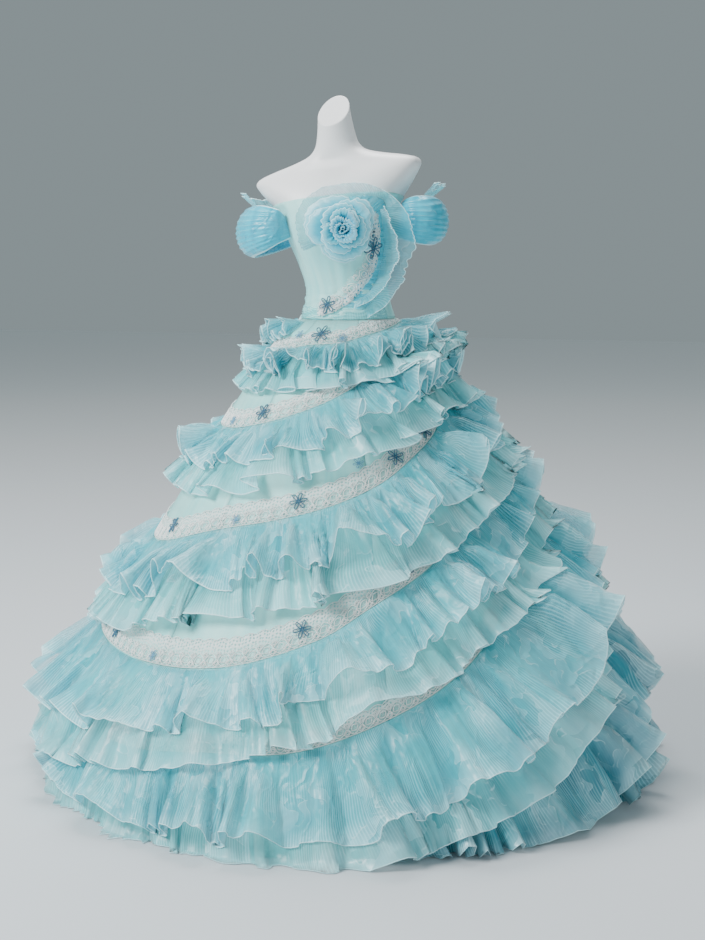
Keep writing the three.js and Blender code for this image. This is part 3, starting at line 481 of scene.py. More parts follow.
def weave_group():
    """A plain weave: two sets of threads at right angles, as a height."""
    tree, given, made = group("plain weave", {"Cloth": VECTOR, "Threads": FLOAT}, {"Height": FLOAT})
    scaled = put(tree, "ShaderNodeVectorMath", {0: given["Cloth"], "Scale": given["Threads"]},
                 operation="SCALE")
    place = put(tree, "ShaderNodeSeparateXYZ", {0: scaled.outputs[0]})
    warp = calc(tree, "SINE", calc(tree, "MULTIPLY", place.outputs["X"], 2 * math.pi))
    weft = calc(tree, "SINE", calc(tree, "MULTIPLY", place.outputs["Y"], 2 * math.pi))
    tree.links.new(calc(tree, "MAXIMUM", warp, weft), made["Height"])
    return tree


def crush_group():
    """Crushed stiff cloth: scattered flat facets that each catch the light differently through their
    height, with a thin crease where two of them meet. The facet's own value and the crease also
    whiten the organza's colour as painted glints and painted bright creases. Noise bends them, and
    keeps them to some patches."""
    tree, given, made = group("crushed facets", {"Cloth": VECTOR, "Scale": FLOAT},
                              {"Height": FLOAT, "Crease": FLOAT, "Facet": FLOAT})
    warp = cloth_noise(tree, given["Cloth"], 20.0, 1.0)
    bend = {0: warp.outputs["Color"], 1: (0.09, 0.09, 0.0), 2: given["Cloth"]}
    moved = put(tree, "ShaderNodeVectorMath", bend, operation="MULTIPLY_ADD")
    drawn = put(tree, "ShaderNodeMapping", {"Vector": moved.outputs[0], "Scale": (1.0, 0.55, 1.0)})
    place = {"Vector": drawn.outputs[0], "Scale": given["Scale"]}
    cells = put(tree, "ShaderNodeTexVoronoi", place, voronoi_dimensions="2D")
    rims = put(tree, "ShaderNodeTexVoronoi", place, voronoi_dimensions="2D", feature="DISTANCE_TO_EDGE")
    patches = cloth_noise(tree, given["Cloth"], 7.0, 1.0)
    where = remap(tree, patches.outputs["Fac"], 0.4, 0.62, 0.12, 1.0)
    breaks = cloth_noise(tree, given["Cloth"], 45.0)
    lines = calc(tree, "MULTIPLY", remap(tree, rims.outputs["Distance"], 0.0, 0.06, 1.0, 0.0),
                 remap(tree, breaks.outputs["Fac"], 0.48, 0.6))
    tone = put(tree, "ShaderNodeSeparateXYZ", {0: cells.outputs["Color"]})
    tree.links.new(cells.outputs["Distance"], made["Height"])
    tree.links.new(calc(tree, "MULTIPLY", lines, where), made["Crease"])
    tree.links.new(calc(tree, "MULTIPLY", tone.outputs["X"], where), made["Facet"])
    return tree


RIBS, DYE, WEAVE, CRUSH = ribs_group(), dye_group(), weave_group(), crush_group()
print("shared effects:", RIBS.name, DYE.name, WEAVE.name, CRUSH.name)

# %% Starting a material
def start(name, roughness, **constants):
    """A material with one Principled BSDF, whose even values are set on its own sockets."""
    material = bpy.data.materials.new(name)
    material.use_nodes = True
    tree = material.node_tree
    tree.nodes.clear()
    shader = put(tree, "ShaderNodeBsdfPrincipled", {"Roughness": roughness})
    for key, value in constants.items():
        shader.inputs[key.replace("_", " ")].default_value = value
    tree.links.new(shader.outputs[0], put(tree, "ShaderNodeOutputMaterial").inputs[0])
    return material, tree, shader


def feed(tree, shader, **sockets):
    """Links values into the Principled BSDF by name."""
    for key, value in sockets.items():
        tree.links.new(value, shader.inputs[key.replace("_", " ")])


# %% Organza
# The white of the rolled hem, also used for the painted highlights on fold tops, facets and creases
HEM_AND_HIGHLIGHT_WHITE = (0.6, 0.95, 1.0, 1)
RIB_PITCH, ORGANZA_ROUGHNESS = 0.0055, 0.3


def organza(name, pale, deep, alpha, rib_alpha=0.2, ribbed=1.0, crush=34.0, flash=0.4):
    """See-through cloth. Its colour holds painted shade, deeper in the fold valleys where the ridge
    mark is low, and painted highlights, white on the fold tops, on some crushed facets and along
    their creases. The rolled hem is white. Its opacity is a base, more on the ribs and in the
    valleys, and full at the rolled hem."""
    material, tree, shader = start(name, ORGANZA_ROUGHNESS, Sheen_Weight=0.35, Sheen_Roughness=0.4, IOR=1.5)
    cloth = put(tree, "ShaderNodeUVMap", uv_map="cloth").outputs[0]
    edge = put(tree, "ShaderNodeAttribute", attribute_name=LOOSE_EDGE).outputs["Fac"]
    ridge = put(tree, "ShaderNodeAttribute", attribute_name=RIDGE).outputs["Fac"]
    rib = filled(tree, RIBS, {"Cloth": cloth, "Pitch": RIB_PITCH}).outputs["Rib"]
    patchy = filled(tree, DYE, {"Cloth": cloth, "Pale": pale, "Deep": deep}).outputs["Color"]
    # Painted shade: the colour deepens towards the deep tone where the ridge mark is low, in the valleys
    valley_shaded = blend(tree, calc(tree, "MULTIPLY", ridge, 0.8), blend(tree, 0.5, patchy, deep), patchy)
    crushed = filled(tree, CRUSH, {"Cloth": cloth, "Scale": crush}).outputs
    # Painted highlight: the fold tops, where the ridge mark is high, are whitened
    lit = blend(tree, calc(tree, "MULTIPLY", remap(tree, ridge, 0.55, 1.0), 0.3), valley_shaded, HEM_AND_HIGHLIGHT_WHITE)
    lifted = blend(tree, calc(tree, "MULTIPLY", rib, 0.3 * ribbed), lit, HEM_AND_HIGHLIGHT_WHITE)
    # Painted highlights: glints whitened onto some facets, and bright lines onto their creases
    facet_glinted = blend(tree, calc(tree, "MULTIPLY", crushed["Facet"], flash), lifted, HEM_AND_HIGHLIGHT_WHITE)
    crease_glinted = blend(tree, calc(tree, "MULTIPLY", crushed["Crease"], 1.6 * flash), facet_glinted, HEM_AND_HIGHLIGHT_WHITE)
    cover = calc(tree, "MULTIPLY_ADD", rib, rib_alpha, alpha)
    cover = calc(tree, "MULTIPLY_ADD", calc(tree, "SUBTRACT", 0.5, ridge), 0.2, cover)
    firmer = calc(tree, "MAXIMUM", crushed["Crease"], crushed["Facet"])
    cover = calc(tree, "MULTIPLY_ADD", firmer, 0.25, cover)
    cover = calc(tree, "MINIMUM", calc(tree, "MULTIPLY_ADD", edge, 0.5, cover), 0.96)
    away = put(tree, "ShaderNodeNewGeometry").outputs["Backfacing"]
    relief = calc(tree, "MULTIPLY_ADD", rib, 0.1 * ribbed, crushed["Height"])
    bump = put(tree, "ShaderNodeBump", {"Strength": 0.6, "Distance": 0.005, "Height": relief})
    feed(tree, shader, Base_Color=blend(tree, edge, crease_glinted, HEM_AND_HIGHLIGHT_WHITE), Normal=bump.outputs[0],
         Alpha=calc(tree, "MULTIPLY", cover, calc(tree, "SUBTRACT", 1.0, away)))
    return material


ORGANZA = organza("crystal organza", (0.05, 0.76, 0.88, 1), (0.01, 0.48, 0.61, 1), 0.42)
ORGANZA_PALE = organza("pale organza", (0.22, 0.86, 0.88, 1), (0.08, 0.66, 0.72, 1), 0.46,
                       rib_alpha=0.12, crush=20.0)
ORGANZA_LAGOON = organza("lagoon organza", (0.03, 0.5, 0.61, 1), (0.0, 0.23, 0.34, 1), 0.58)
ORGANZA_COLLAR = organza("collar organza", (0.22, 0.84, 0.92, 1), (0.06, 0.62, 0.76, 1), 0.4,
                         rib_alpha=0.12)
ORGANZA_SLEEVE = organza("sleeve organza", (0.0, 0.66, 0.84, 1), (0.0, 0.42, 0.6, 1), 0.88,
                         rib_alpha=0.0, ribbed=0.0, flash=0.1)
ORGANZA_ROSE = organza("rose organza", (0.02, 0.78, 0.96, 1), (0.0, 0.58, 0.8, 1), 0.55,
                       rib_alpha=0.05, ribbed=0.0, flash=0.2)
ORGANZA_CORE = organza("rose core organza", (0.0, 0.6, 0.84, 1), (0.0, 0.38, 0.62, 1), 0.85,
                       rib_alpha=0.0, ribbed=0.0, flash=0.1)

# %% Satin, lace, form and stand
def satin():
    """Pale mint satin: a fine weave as bump and a soft shine."""
    material, tree, shader = start("mint satin", 0.42, Sheen_Weight=0.3, Sheen_Roughness=0.35)
    cloth = put(tree, "ShaderNodeUVMap", uv_map="cloth").outputs[0]
    dyed = filled(tree, DYE, {"Cloth": cloth, "Pale": (0.42, 0.86, 0.82, 1), "Deep": (0.29, 0.77, 0.76, 1)})
    threads = filled(tree, WEAVE, {"Cloth": cloth, "Threads": 900.0}).outputs["Height"]
    bump = put(tree, "ShaderNodeBump", {"Strength": 0.2, "Distance": 0.0003, "Height": threads})
    feed(tree, shader, Base_Color=dyed.outputs["Color"], Normal=bump.outputs[0])
    return material


def lace_net():
    """White net with small round holes: the distance to the nearest cell's middle. The ground is
    closer towards the band's upper edge, where the ridge mark is 1."""
    material, tree, shader = start("lace net", 0.75, Sheen_Weight=0.2)
    cloth = put(tree, "ShaderNodeUVMap", uv_map="cloth").outputs[0]
    upper = put(tree, "ShaderNodeAttribute", attribute_name=RIDGE).outputs["Fac"]
    cells = put(tree, "ShaderNodeTexVoronoi", {"Vector": cloth, "Scale": 125.0, "Randomness": 0.45},
                voronoi_dimensions="2D")
    thread = remap(tree, cells.outputs["Distance"], 0.2, 0.3)
    away = put(tree, "ShaderNodeNewGeometry").outputs["Backfacing"]
    cover = calc(tree, "MULTIPLY_ADD", thread, remap(tree, upper, 0.35, 0.75, 0.1, 0.62), 0.1)
    # Painted shade: the holes are tinted a dark grey-green, the threads white
    shade = blend(tree, thread, (0.32, 0.42, 0.4, 1), (0.93, 0.98, 0.97, 1))
    bump = put(tree, "ShaderNodeBump", {"Strength": 0.6, "Distance": 0.001, "Height": thread})
    feed(tree, shader, Base_Color=shade, Normal=bump.outputs[0],
         Alpha=calc(tree, "MULTIPLY", cover, calc(tree, "SUBTRACT", 1.0, away)))
    return material


def thread(name, pale, deep, roughness=0.7):
    """Wound embroidery thread: two tones in fine patches."""
    material, tree, shader = start(name, roughness, Sheen_Weight=0.3)
    place = put(tree, "ShaderNodeTexCoord").outputs["Object"]
    wound = put(tree, "ShaderNodeTexNoise", {"Vector": place, "Scale": 420.0, "Detail": 2.0}).outputs["Fac"]
    bump = put(tree, "ShaderNodeBump", {"Strength": 0.5, "Distance": 0.0006, "Height": wound})
    tone = blend(tree, remap(tree, wound, 0.35, 0.65), pale, deep)
    feed(tree, shader, Base_Color=tone, Normal=bump.outputs[0])
    return material


def shell_white():
    """Moulded white shell: a faint orange-peel and slightly uneven gloss."""
    material, tree, shader = start("form shell", 0.4, Coat_Weight=0.1, Coat_Roughness=0.3)
    place = put(tree, "ShaderNodeTexCoord").outputs["Object"]
    clouds = put(tree, "ShaderNodeTexNoise", {"Vector": place, "Scale": 7.0, "Detail": 3.0}).outputs["Fac"]
    peel = put(tree, "ShaderNodeTexNoise", {"Vector": place, "Scale": 260.0, "Detail": 1.0}).outputs["Fac"]
    bump = put(tree, "ShaderNodeBump", {"Strength": 0.12, "Distance": 0.0004, "Height": peel})
    feed(tree, shader, Base_Color=blend(tree, clouds, (0.88, 0.89, 0.89, 1), (0.8, 0.82, 0.83, 1)),
         Roughness=remap(tree, clouds, 0.3, 0.7, 0.36, 0.48), Normal=bump.outputs[0])
    return material


def brushed_steel():
    """Steel brushed along its height: noise that is stretched upwards."""
    material, tree, shader = start("brushed steel", 0.3, Metallic=1.0)
    place = put(tree, "ShaderNodeTexCoord").outputs["Object"]
    drawn = put(tree, "ShaderNodeMapping", {"Vector": place, "Scale": (300.0, 300.0, 8.0)})
    inputs = {"Vector": drawn.outputs[0], "Scale": 1.0, "Detail": 3.0}
    lines = put(tree, "ShaderNodeTexNoise", inputs).outputs["Fac"]
    feed(tree, shader, Base_Color=blend(tree, lines, (0.62, 0.64, 0.65, 1), (0.75, 0.77, 0.78, 1)),
         Roughness=remap(tree, lines, 0.2, 0.8, 0.24, 0.42))
    return material


SATIN, LACE_NET, SHELL, STEEL = satin(), lace_net(), shell_white(), brushed_steel()
LACE_CORD = thread("lace cord", (0.97, 0.99, 0.98, 1), (0.86, 0.94, 0.93, 1))
FLOWER_THREAD = thread("flower thread", (0.05, 0.21, 0.32, 1), (0.015, 0.09, 0.17, 1))
FAINT_THREAD = thread("faint flower thread", (0.16, 0.42, 0.6, 1), (0.08, 0.3, 0.5, 1))
BEAD_GLASS = thread("dark bead glass", (0.05, 0.12, 0.17, 1), (0.02, 0.06, 0.1, 1), 0.2)
print("materials:", len(bpy.data.materials))

# %% [markdown]
# ## Form and stand
#
# The form is one smooth moulded shell. Its neck is cut on a slant, so the cut's height depends on
# how far back each point lies, and the plane is found by closing in on it a few times. A boolean cut
# would leave uneven faces there, and shading would show them. The pole and base are steel, and are
# kept as they are, with a brushed finish.

# %% Dress form
FORM_COLUMNS, FORM_ROWS, NECK_ROWS = 128, 110, 16
NECK_CUT_PASSES, NECK_CUT_STEP, NECK_CUT_LEAN = 12, 0.4, 0.6


def neck_cut_z(az):
    """The slanted cut's height: a plane that rises to the back, met by the leaning neck."""
    z = np.full(np.shape(az), float(NECK_CUT_Z))
    for _ in range(NECK_CUT_PASSES):
        y = figure(az, z)[..., 1] + NECK_LEAN * NECK_CUT_LEAN
        z += (NECK_CUT_Z + y * NECK_CUT_SLOPE - z) * NECK_CUT_STEP
    return z


def capped_body(name, rings):
    """A closed body from rings of points, whose end rings shrink to a flat cap in four steps."""
    shrink = np.array([0.02, 0.35, 0.7, 0.93])[:, None, None]
    low, high = rings[0].mean(0), rings[-1].mean(0)
    bottom, top = low + (rings[:1] - low) * shrink, high + (rings[-1:] - high) * shrink[::-1]
    rings = np.concatenate([bottom, rings, top])
    rows, columns = rings.shape[:2]
    i, j = (a.ravel() for a in np.meshgrid(np.arange(rows - 1), np.arange(columns), indexing="ij"))
    here, there = i * columns + j, i * columns + (j + 1) % columns
    sides = np.stack([here, there, there + columns, here + columns], -1)
    # The small hole left in each cap is closed by pairing its corners across
    k = np.arange(columns // 2 - 1)
    caps = [np.stack([s + k, s + k + 1, s + columns - 2 - k, s + columns - 1 - k], -1)
            for s in (0, (rows - 1) * columns)]
    faces = np.concatenate([sides, caps[0][:, ::-1], caps[1]])
    vertices = rings.reshape(-1, 3)
    faces = faces if outward(vertices, faces) else faces[:, ::-1]
    return make_object(name, vertices, np.ascontiguousarray(faces))


def dress_form():
    """Rings of the figure from the hips to the base of the neck, then up to the slanted cut."""
    az = np.arange(FORM_COLUMNS) * 360 / FORM_COLUMNS
    body = figure(az, np.linspace(FIGURE[0][0], NECK_BASE_Z, FORM_ROWS)[:, None])
    share = np.linspace(0, 1, NECK_ROWS + 1)[1:, None]
    neck = figure(az, NECK_BASE_Z + (neck_cut_z(az) - NECK_BASE_Z) * share)
    return dress(capped_body("form_shell", np.concatenate([body, neck])), SHELL, ["form_torso"])


dress_form()
for node in ("form_pole", "form_base"):
    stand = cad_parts[node]
    stand.data.materials.clear()
    stand.data.materials.append(STEEL)
print("form:", TOTALS)

# %% [markdown]
# ## Bodice and skirt
#
# Satin panels with a thin wall, sewn edge to edge with a narrow seam between them. Low on the front
# of the bodice they lie in narrow folds that follow the waist and rise to the gown's left. The skirt's
# gores hang smooth, because the ruffles hide most of them.

# %% Bodice
SIDE_SEAM = 80
BODICE_ROWS, BODICE_STEP = 44, 1.6
SEAM_HALF_GAP_DEG = 0.15
DRAPE_FOLDS, DRAPE_DEPTH, DRAPE_HEIGHT = 6, 4.5, 62
DRAPE_SLANT, DRAPE_FROM_AZ, DRAPE_SPAN_DEG = 0.3, -30, 110
BODICE_UNEVENNESS = 0.35


def bodice_panel(name, first, last):
    """The figure moved out by the gap and half the cloth, with drape folds that fade above the
    waist: a sine of the height and azimuth, times two S-curves."""
    columns = round((last - first) / BODICE_STEP) + 1
    az = np.linspace(first + SEAM_HALF_GAP_DEG, last - SEAM_HALF_GAP_DEG, columns)
    share = np.linspace(0, 1, BODICE_ROWS)[:, None]
    z = WAIST_Z + (neckline_z(az) - WAIST_Z) * share
    az = np.broadcast_to(az, z.shape)
    rising = DRAPE_SLANT * np.clip(az - DRAPE_FROM_AZ, 0, DRAPE_SPAN_DEG)
    slant = (z - WAIST_Z - rising) / DRAPE_HEIGHT
    bend = wander(az, slant, 3, 2, 9, 0.8) * 0.5
    folds = 1 - np.abs(np.sin(slant * DRAPE_FOLDS * np.pi / 2 + bend)) ** 0.8
    near_waist = smooth(slant, -0.5, 0.0) * (1 - smooth(slant, 0.7, 1.1))
    in_front = smooth(np.cos(np.radians(az)), -0.2, 0.5)
    height = folds * DRAPE_DEPTH * (near_waist * in_front)
    height = height + wander(az, z / 40, 5, 9, 30, 0.5) * BODICE_UNEVENNESS
    points = on_bodice(az, z, height - CLOTH / 2)
    cloth_piece(name + "_satin", points, CLOTH, SATIN, [name])


bodice_panel("bodice_front", -SIDE_SEAM, SIDE_SEAM)
bodice_panel("bodice_back_left", SIDE_SEAM, 180)
bodice_panel("bodice_back_right", 180, 360 - SIDE_SEAM)

# %% Base skirt
SKIRT_ROWS, SKIRT_STEP = 30, 2.5
SKIRT_SAG, SAG_FROM_Z, SAG_TO_Z, SKIRT_SEAT = 2.0, 200, 1000, 1.5


def skirt_panel(name, first, last):
    """The bell with soft upright folds, deepest at the hem: wandering waves times an S-curve."""
    columns, seam = round((last - first) / SKIRT_STEP) + 1, SEAM_HALF_GAP_DEG / 2
    az = np.linspace(first + seam, last - seam, columns)
    z = np.linspace(WAIST_Z - 1, 1, SKIRT_ROWS)[:, None]
    sag = wander(az, z / 300, 11, 12, 40, 0.3) * SKIRT_SAG * (1 - smooth(z, SAG_FROM_Z, SAG_TO_Z))
    points = on_skirt(az, z, np.minimum(sag, SKIRT_SEAT) - CLOTH - SKIRT_SEAT)
    points[..., 2] = z
    cloth_piece(name + "_satin", points, CLOTH, SATIN, [name])


SKIRT_SEAMS = [-27, 27, 72, 117, 162, 198, 243, 288, 333]
for number, (first, last) in enumerate(zip(SKIRT_SEAMS, SKIRT_SEAMS[1:]), 1):
    skirt_panel(f"skirt_gore_{number}", first, last)
print("bodice and skirt:", TOTALS)

# %% [markdown]
# ## What lies on the skirt
#
# The layers are laid from the floor up. A map of azimuth and height keeps the outermost cloth so
# far, and each new layer lies over it. The map is filled from whole arrays, refined between their
# rows, and read back as the most that is near. A cloth simulation could settle the layers too, but
# that many gathered layers would take hours and still pass through each other.

# %% The cover map
COVER_AZ_STEP, COVER_Z_STEP = 0.5, 5.0
COVER_LOW_Z, COVER_HIGH_Z = -240.0, 1110.0
cover = np.zeros((int(360 / COVER_AZ_STEP), int((COVER_HIGH_Z - COVER_LOW_Z) / COVER_Z_STEP)))


def cover_cells(az, z):
    """The map's column and row for each place."""
    column = np.round(np.asarray(az) / COVER_AZ_STEP).astype(int) % cover.shape[0]
    row = np.round((z - COVER_LOW_Z) / COVER_Z_STEP).astype(int)
    return column, np.clip(row, 0, cover.shape[1] - 1)


def refine(values, times):
    """Rows added between the rows of an array, in even steps."""
    at = np.linspace(0, len(values) - 1, (len(values) - 1) * times + 1)
    low = np.minimum(at.astype(int), len(values) - 2)
    share = (at - low)[:, None]
    return values[low] * (1 - share) + values[low + 1] * share


def cover_with(az, z, height):
    """Raises the map to a layer's height, at every cell that it passes."""
    times = max(1, int(np.ptp(z, axis=0).max() / len(z) / COVER_Z_STEP * 2))
    az, z, height = (refine(np.asarray(v, float), times) for v in (az, z, height))
    np.maximum.at(cover, cover_cells(az, z), height)


def cover_at(az, z, reach=1):
    """The most that the map holds within a few cells of each place."""
    wide = cover.copy()
    for axis in (0, 1):
        wide = np.max([np.roll(wide, step, axis) for step in range(-reach, reach + 1)], 0)
    return wide[cover_cells(az, z)]


# %% Seam lines
SEAMS = {
    "waist": [[-150, 1016], [-100, 986], [-52, 972], [-16, 990], [10, 996], [37, 1015], [86, 1036],
              [140, 1038], [180, 1032]],
    "hip": [[-120, 838], [-83, 806], [-50, 803], [-28, 820], [-11, 842], [9, 875], [33, 925], [55, 965],
            [85, 990], [130, 992], [180, 950], [210, 892]],
    "thigh": [[-120, 620], [-90, 560], [-60, 545], [-26, 602], [-7, 629], [13, 662], [32, 706], [47, 753],
              [63, 799], [81, 857], [120, 902], [160, 880], [200, 780]],
    "knee": [[-130, 440], [-95, 365], [-42, 330], [-12, 344], [12, 410], [25, 469], [40, 526], [53, 578],
             [67, 636], [79, 691], [110, 780], [145, 790], [180, 700]],
    "shin": [[-130, 245], [-95, 185], [-60, 165], [-26, 167], [-11, 186], [9, 205], [30, 276], [45, 343],
             [53, 388], [63, 449], [76, 520], [89, 572], [115, 610], [150, 590], [180, 485]],
    "train": [[24, 66], [60, 190], [90, 352], [120, 432], [150, 430], [180, 350], [215, 205], [238, 130]],
    "sweep": [[78, 100], [100, 170], [135, 262], [165, 258], [190, 190]],
    "hips_frill": [[168, 1040], [200, 1040], [250, 1040], [316, 1041]],
}


def seam_z(name, az, ring=True):
    """The height of a seam line at an azimuth."""
    return ease(SEAMS[name], az, 360 if ring else None)[..., 0]


# %% [markdown]
# ## Lace
#
# Each band is a strip of white net with a scalloped edge, and raised cord is sewn on it in rosettes:
# two lobed rings, one inside the other. The net's holes are far too many to cut, so they are a
# pattern in the Alpha. The cord catches the light, so it is real: all rings of a band are worked out
# at once, as tubes with three sides.

# %% Cord tubes
def tubes(curves, normals, radius):
    """Tubes with three sides round many closed curves at once. Each corner lies at the radius from
    the curve, in the plane of the surface's normal and of the direction square to it and the curve."""
    along_curve = np.roll(curves, -1, -2) - np.roll(curves, 1, -2)
    side = np.cross(along_curve, normals)
    side /= np.maximum(np.linalg.norm(side, axis=-1, keepdims=True), 1e-9)
    angles = np.radians([90, 210, 330])
    corners = [curves + (normals * math.sin(a) + side * math.cos(a)) * radius for a in angles]
    vertices = np.stack(corners, -2).reshape(-1, len(curves[0]), 3, 3)
    count, points = vertices.shape[:2]
    c, i, k = (a.ravel() for a in np.indices((count, points, 3)))

    def corner(di, dk):
        """The number of a corner: the tube, its place along the curve and its place round it."""
        return (c * points + (i + di) % points) * 3 + (k + dk) % 3

    faces = np.stack([corner(0, 0), corner(0, 1), corner(1, 1), corner(1, 0)], -1)
    return vertices.reshape(-1, 3), faces


def joined(parts):
    """Several meshes of the same kind of face as one."""
    vertices, faces, start_at = [], [], 0
    for part_vertices, part_faces in parts:
        vertices.append(part_vertices)
        faces.append(part_faces + start_at)
        start_at += len(part_vertices)
    vertices, faces = np.concatenate(vertices), np.concatenate(faces)
    return vertices, faces if outward(vertices, faces) else faces[:, ::-1]


# %% Lace bands
LACES = {"lace_1": ("waist", 26), "lace_2": ("hip", 38), "lace_3": ("thigh", 46), "lace_4": ("knee", 54),
         "lace_5": ("shin", 34)}
LACE_RISE, LACE_COVER_START = 3, 6
NET_THICKNESS, NET_HEIGHT, CORD_RADIUS = 0.5, 1.2, 1.15
ROSETTE_PITCH, ROSETTE_LOBES, ROSETTE_LOBE, ROSETTE_LARGEST, LOOP_POINTS = 31, 4, 0.1, 13.5, 12
NET_ROWS, NET_COLUMNS_A_ROSETTE, FEWEST_ROSETTES = 5, 8, 12
SCALLOP_DEPTH, SCALLOP_MIDDLE = 5, 0.6


def rosette_curves(size):
    """Two rings in a plane, one inside the other, each with four soft lobes and a turn of its own."""
    t = np.arange(LOOP_POINTS) / LOOP_POINTS * 2 * np.pi
    reach = np.array([1.0, 0.55])[:, None] * size * (1 + ROSETTE_LOBE * np.cos(ROSETTE_LOBES * t))
    turn = t + np.array([0.0, 0.6])[:, None]
    return np.stack([reach * np.cos(turn), reach * np.sin(turn)], -1)


def lace_band(name, seam, width):
    """Net from just above the seam, whose upper edge is a row of scallops, and cord rosettes set
    along the middle with a smaller one between each two."""
    length = float(ring_radius(0.0, seam_z(seam, 0.0)) * 2 * np.pi * 1.02)
    repeats = max(FEWEST_ROSETTES, round(length / ROSETTE_PITCH))
    columns = repeats * NET_COLUMNS_A_ROSETTE
    az = np.arange(columns) * 360 / columns
    scallop = SCALLOP_DEPTH * (np.abs(np.sin(np.radians(az) * repeats / 2)) - SCALLOP_MIDDLE)
    share = np.linspace(1, 0, NET_ROWS)[:, None]
    z = np.minimum(seam_z(seam, az) + LACE_RISE + share * width + scallop * share, WAIST_Z - LACE_RISE)
    height = np.full(z.shape, NET_HEIGHT)
    points = on_skirt(az, z, height)
    cloth_piece(name + "_net", points, NET_THICKNESS, LACE_NET, [name],
                closed=True, ridge=share)
    cover_with(az + 0 * z, z + LACE_COVER_START * (1 - share), height + 2 * CORD_RADIUS)

    large = min(width * 0.36, ROSETTE_LARGEST)
    sizes = [(0.0, large, (large + 1) / width), (0.5, large * 0.5, (large * 0.5 + 1) / width),
             (0.5, large * 0.42, 1.75 * large / width)]
    parts = []
    for offset, size, level in sizes:
        flower = rosette_curves(size)
        centre = (np.arange(repeats) + offset)[:, None, None] * 360 / repeats
        radius = ring_radius(centre, seam_z(seam, centre))
        place_az = centre + np.degrees(flower[None, ..., 0] / radius)
        place_z = seam_z(seam, place_az) + LACE_RISE + width * level
        place_z = np.minimum(place_z + flower[None, ..., 1] * math.cos(CONE_LIFT), WAIST_Z - LACE_RISE)
        curves = on_skirt(place_az, place_z, NET_HEIGHT + CORD_RADIUS)
        normals = (on_skirt(place_az, place_z, NET_HEIGHT + CORD_RADIUS + 1) - curves)
        shape = (-1, LOOP_POINTS, 3)
        parts.append(tubes(curves.reshape(shape), normals.reshape(shape), CORD_RADIUS))
    for edge_z in (z[0], z[-1]):
        curve = on_skirt(az, edge_z, NET_HEIGHT + CORD_RADIUS)[None]
        normals = on_skirt(az, edge_z, NET_HEIGHT + CORD_RADIUS + 1)[None] - curve
        parts.append(tubes(curve, normals, CORD_RADIUS))
    vertices, faces = joined(parts)
    cord = make_object(f"{name}_cord", vertices, np.ascontiguousarray(faces))
    return dress(cord, LACE_CORD)


for lace_name, (lace_seam, lace_width) in LACES.items():
    lace_band(lace_name, lace_seam, lace_width)
print("lace:", TOTALS)

# %% [markdown]
# ## Applique flowers
#
# Each flower has six embroidered petals, which are open loops of thick thread, and a knot in the
# middle. A picture of a flower would be flat, so the thread is tubes that follow the cloth below. The
# small ones are joined in one piece. A few dark beads lie on the lace beside the rose.

# %% Flowers
PETALS, PETAL_POINTS, FLOWER_THREAD_RADIUS = 6, 14, 1.45
PETAL_START, PETAL_LENGTH, PETAL_WIDTH, KNOT_SIZE, FLOWER_TURN = 0.12, 0.44, 0.22, 0.1, 0.3
FLOWER_RADIUS, FLOWER_STAND, TOP_FLOWER_HEIGHT = 19, 2.0, 8.0
BODICE_TURN_RADIUS = 105

# seam, azimuth, rise above the seam
FLOWERS = [
    ("hip", 80, 20), ("waist", -8, 24), ("hip", -28, 26), ("hip", 24, 24), ("hip", 60, 22),
    ("thigh", -52, 34), ("thigh", 2, 30), ("thigh", 40, 30), ("thigh", 58, 26), ("knee", 8, 34),
    ("knee", 36, 34), ("knee", -50, 30),
]
# azimuth and z on the bodice, size
BODICE_FLOWERS = [(50, 1208, 22), (-12, 1078, 20)]


def flower_curves(size):
    """Open pointed ovals round a small ring: the width of each is the sine of the turn, and its reach
    the cosine."""
    t = np.arange(PETAL_POINTS) / PETAL_POINTS * 2 * np.pi
    turn = np.arange(PETALS)[:, None] * 2 * np.pi / PETALS + FLOWER_TURN
    reach = size * (PETAL_START + PETAL_LENGTH * (1 + np.cos(t)))
    swing = size * PETAL_WIDTH * np.sin(t) * (0.75 + 0.25 * np.cos(t))
    petals = np.stack([reach * np.cos(turn) - swing * np.sin(turn),
                       reach * np.sin(turn) + swing * np.cos(turn)], -1)
    ring = np.stack([np.cos(t), np.sin(t)], -1)[None] * size * KNOT_SIZE
    return np.concatenate([petals, ring])


def flower_mesh(size, surface, lift):
    """The flower's threads as tubes on a surface, which is a function of two lengths and a height."""
    flat = flower_curves(size)
    curves = surface(flat[..., 0], flat[..., 1], lift)
    normals = surface(flat[..., 0], flat[..., 1], lift + 1) - curves
    return tubes(curves, normals, FLOWER_THREAD_RADIUS * size / FLOWER_RADIUS)


def skirt_patch(az, z):
    """A flat patch of the skirt round a place, as a function of two lengths and a height."""
    radius = float(ring_radius(az, z))
    return lambda u, v, height: on_skirt(az + np.degrees(u / radius), z + v * math.cos(CONE_LIFT), height)


def bodice_patch(az, z):
    """The same on the bodice."""
    return lambda u, v, height: on_bodice(az + np.degrees(u / BODICE_TURN_RADIUS), z + v, height)


def add_flower(name, mesh, node):
    """One flower as its own piece."""
    vertices, faces = joined([mesh])
    return dress(make_object(name, vertices, np.ascontiguousarray(faces)), FLOWER_THREAD, [node])


for number, (seam, az, rise) in enumerate(FLOWERS, 1):
    z = float(seam_z(seam, az)) + rise
    stand_off = float(cover_at(az, z, 3)) + FLOWER_STAND
    mesh = flower_mesh(FLOWER_RADIUS, skirt_patch(az, z), stand_off)
    add_flower(f"skirt_flower_{number}", mesh, f"flower_{number}")
for number, (az, z, size) in enumerate(BODICE_FLOWERS, 1):
    mesh = flower_mesh(size, bodice_patch(az, z), TOP_FLOWER_HEIGHT)
    add_flower(f"top_flower_{number}", mesh, f"bodice_flower_{number}")

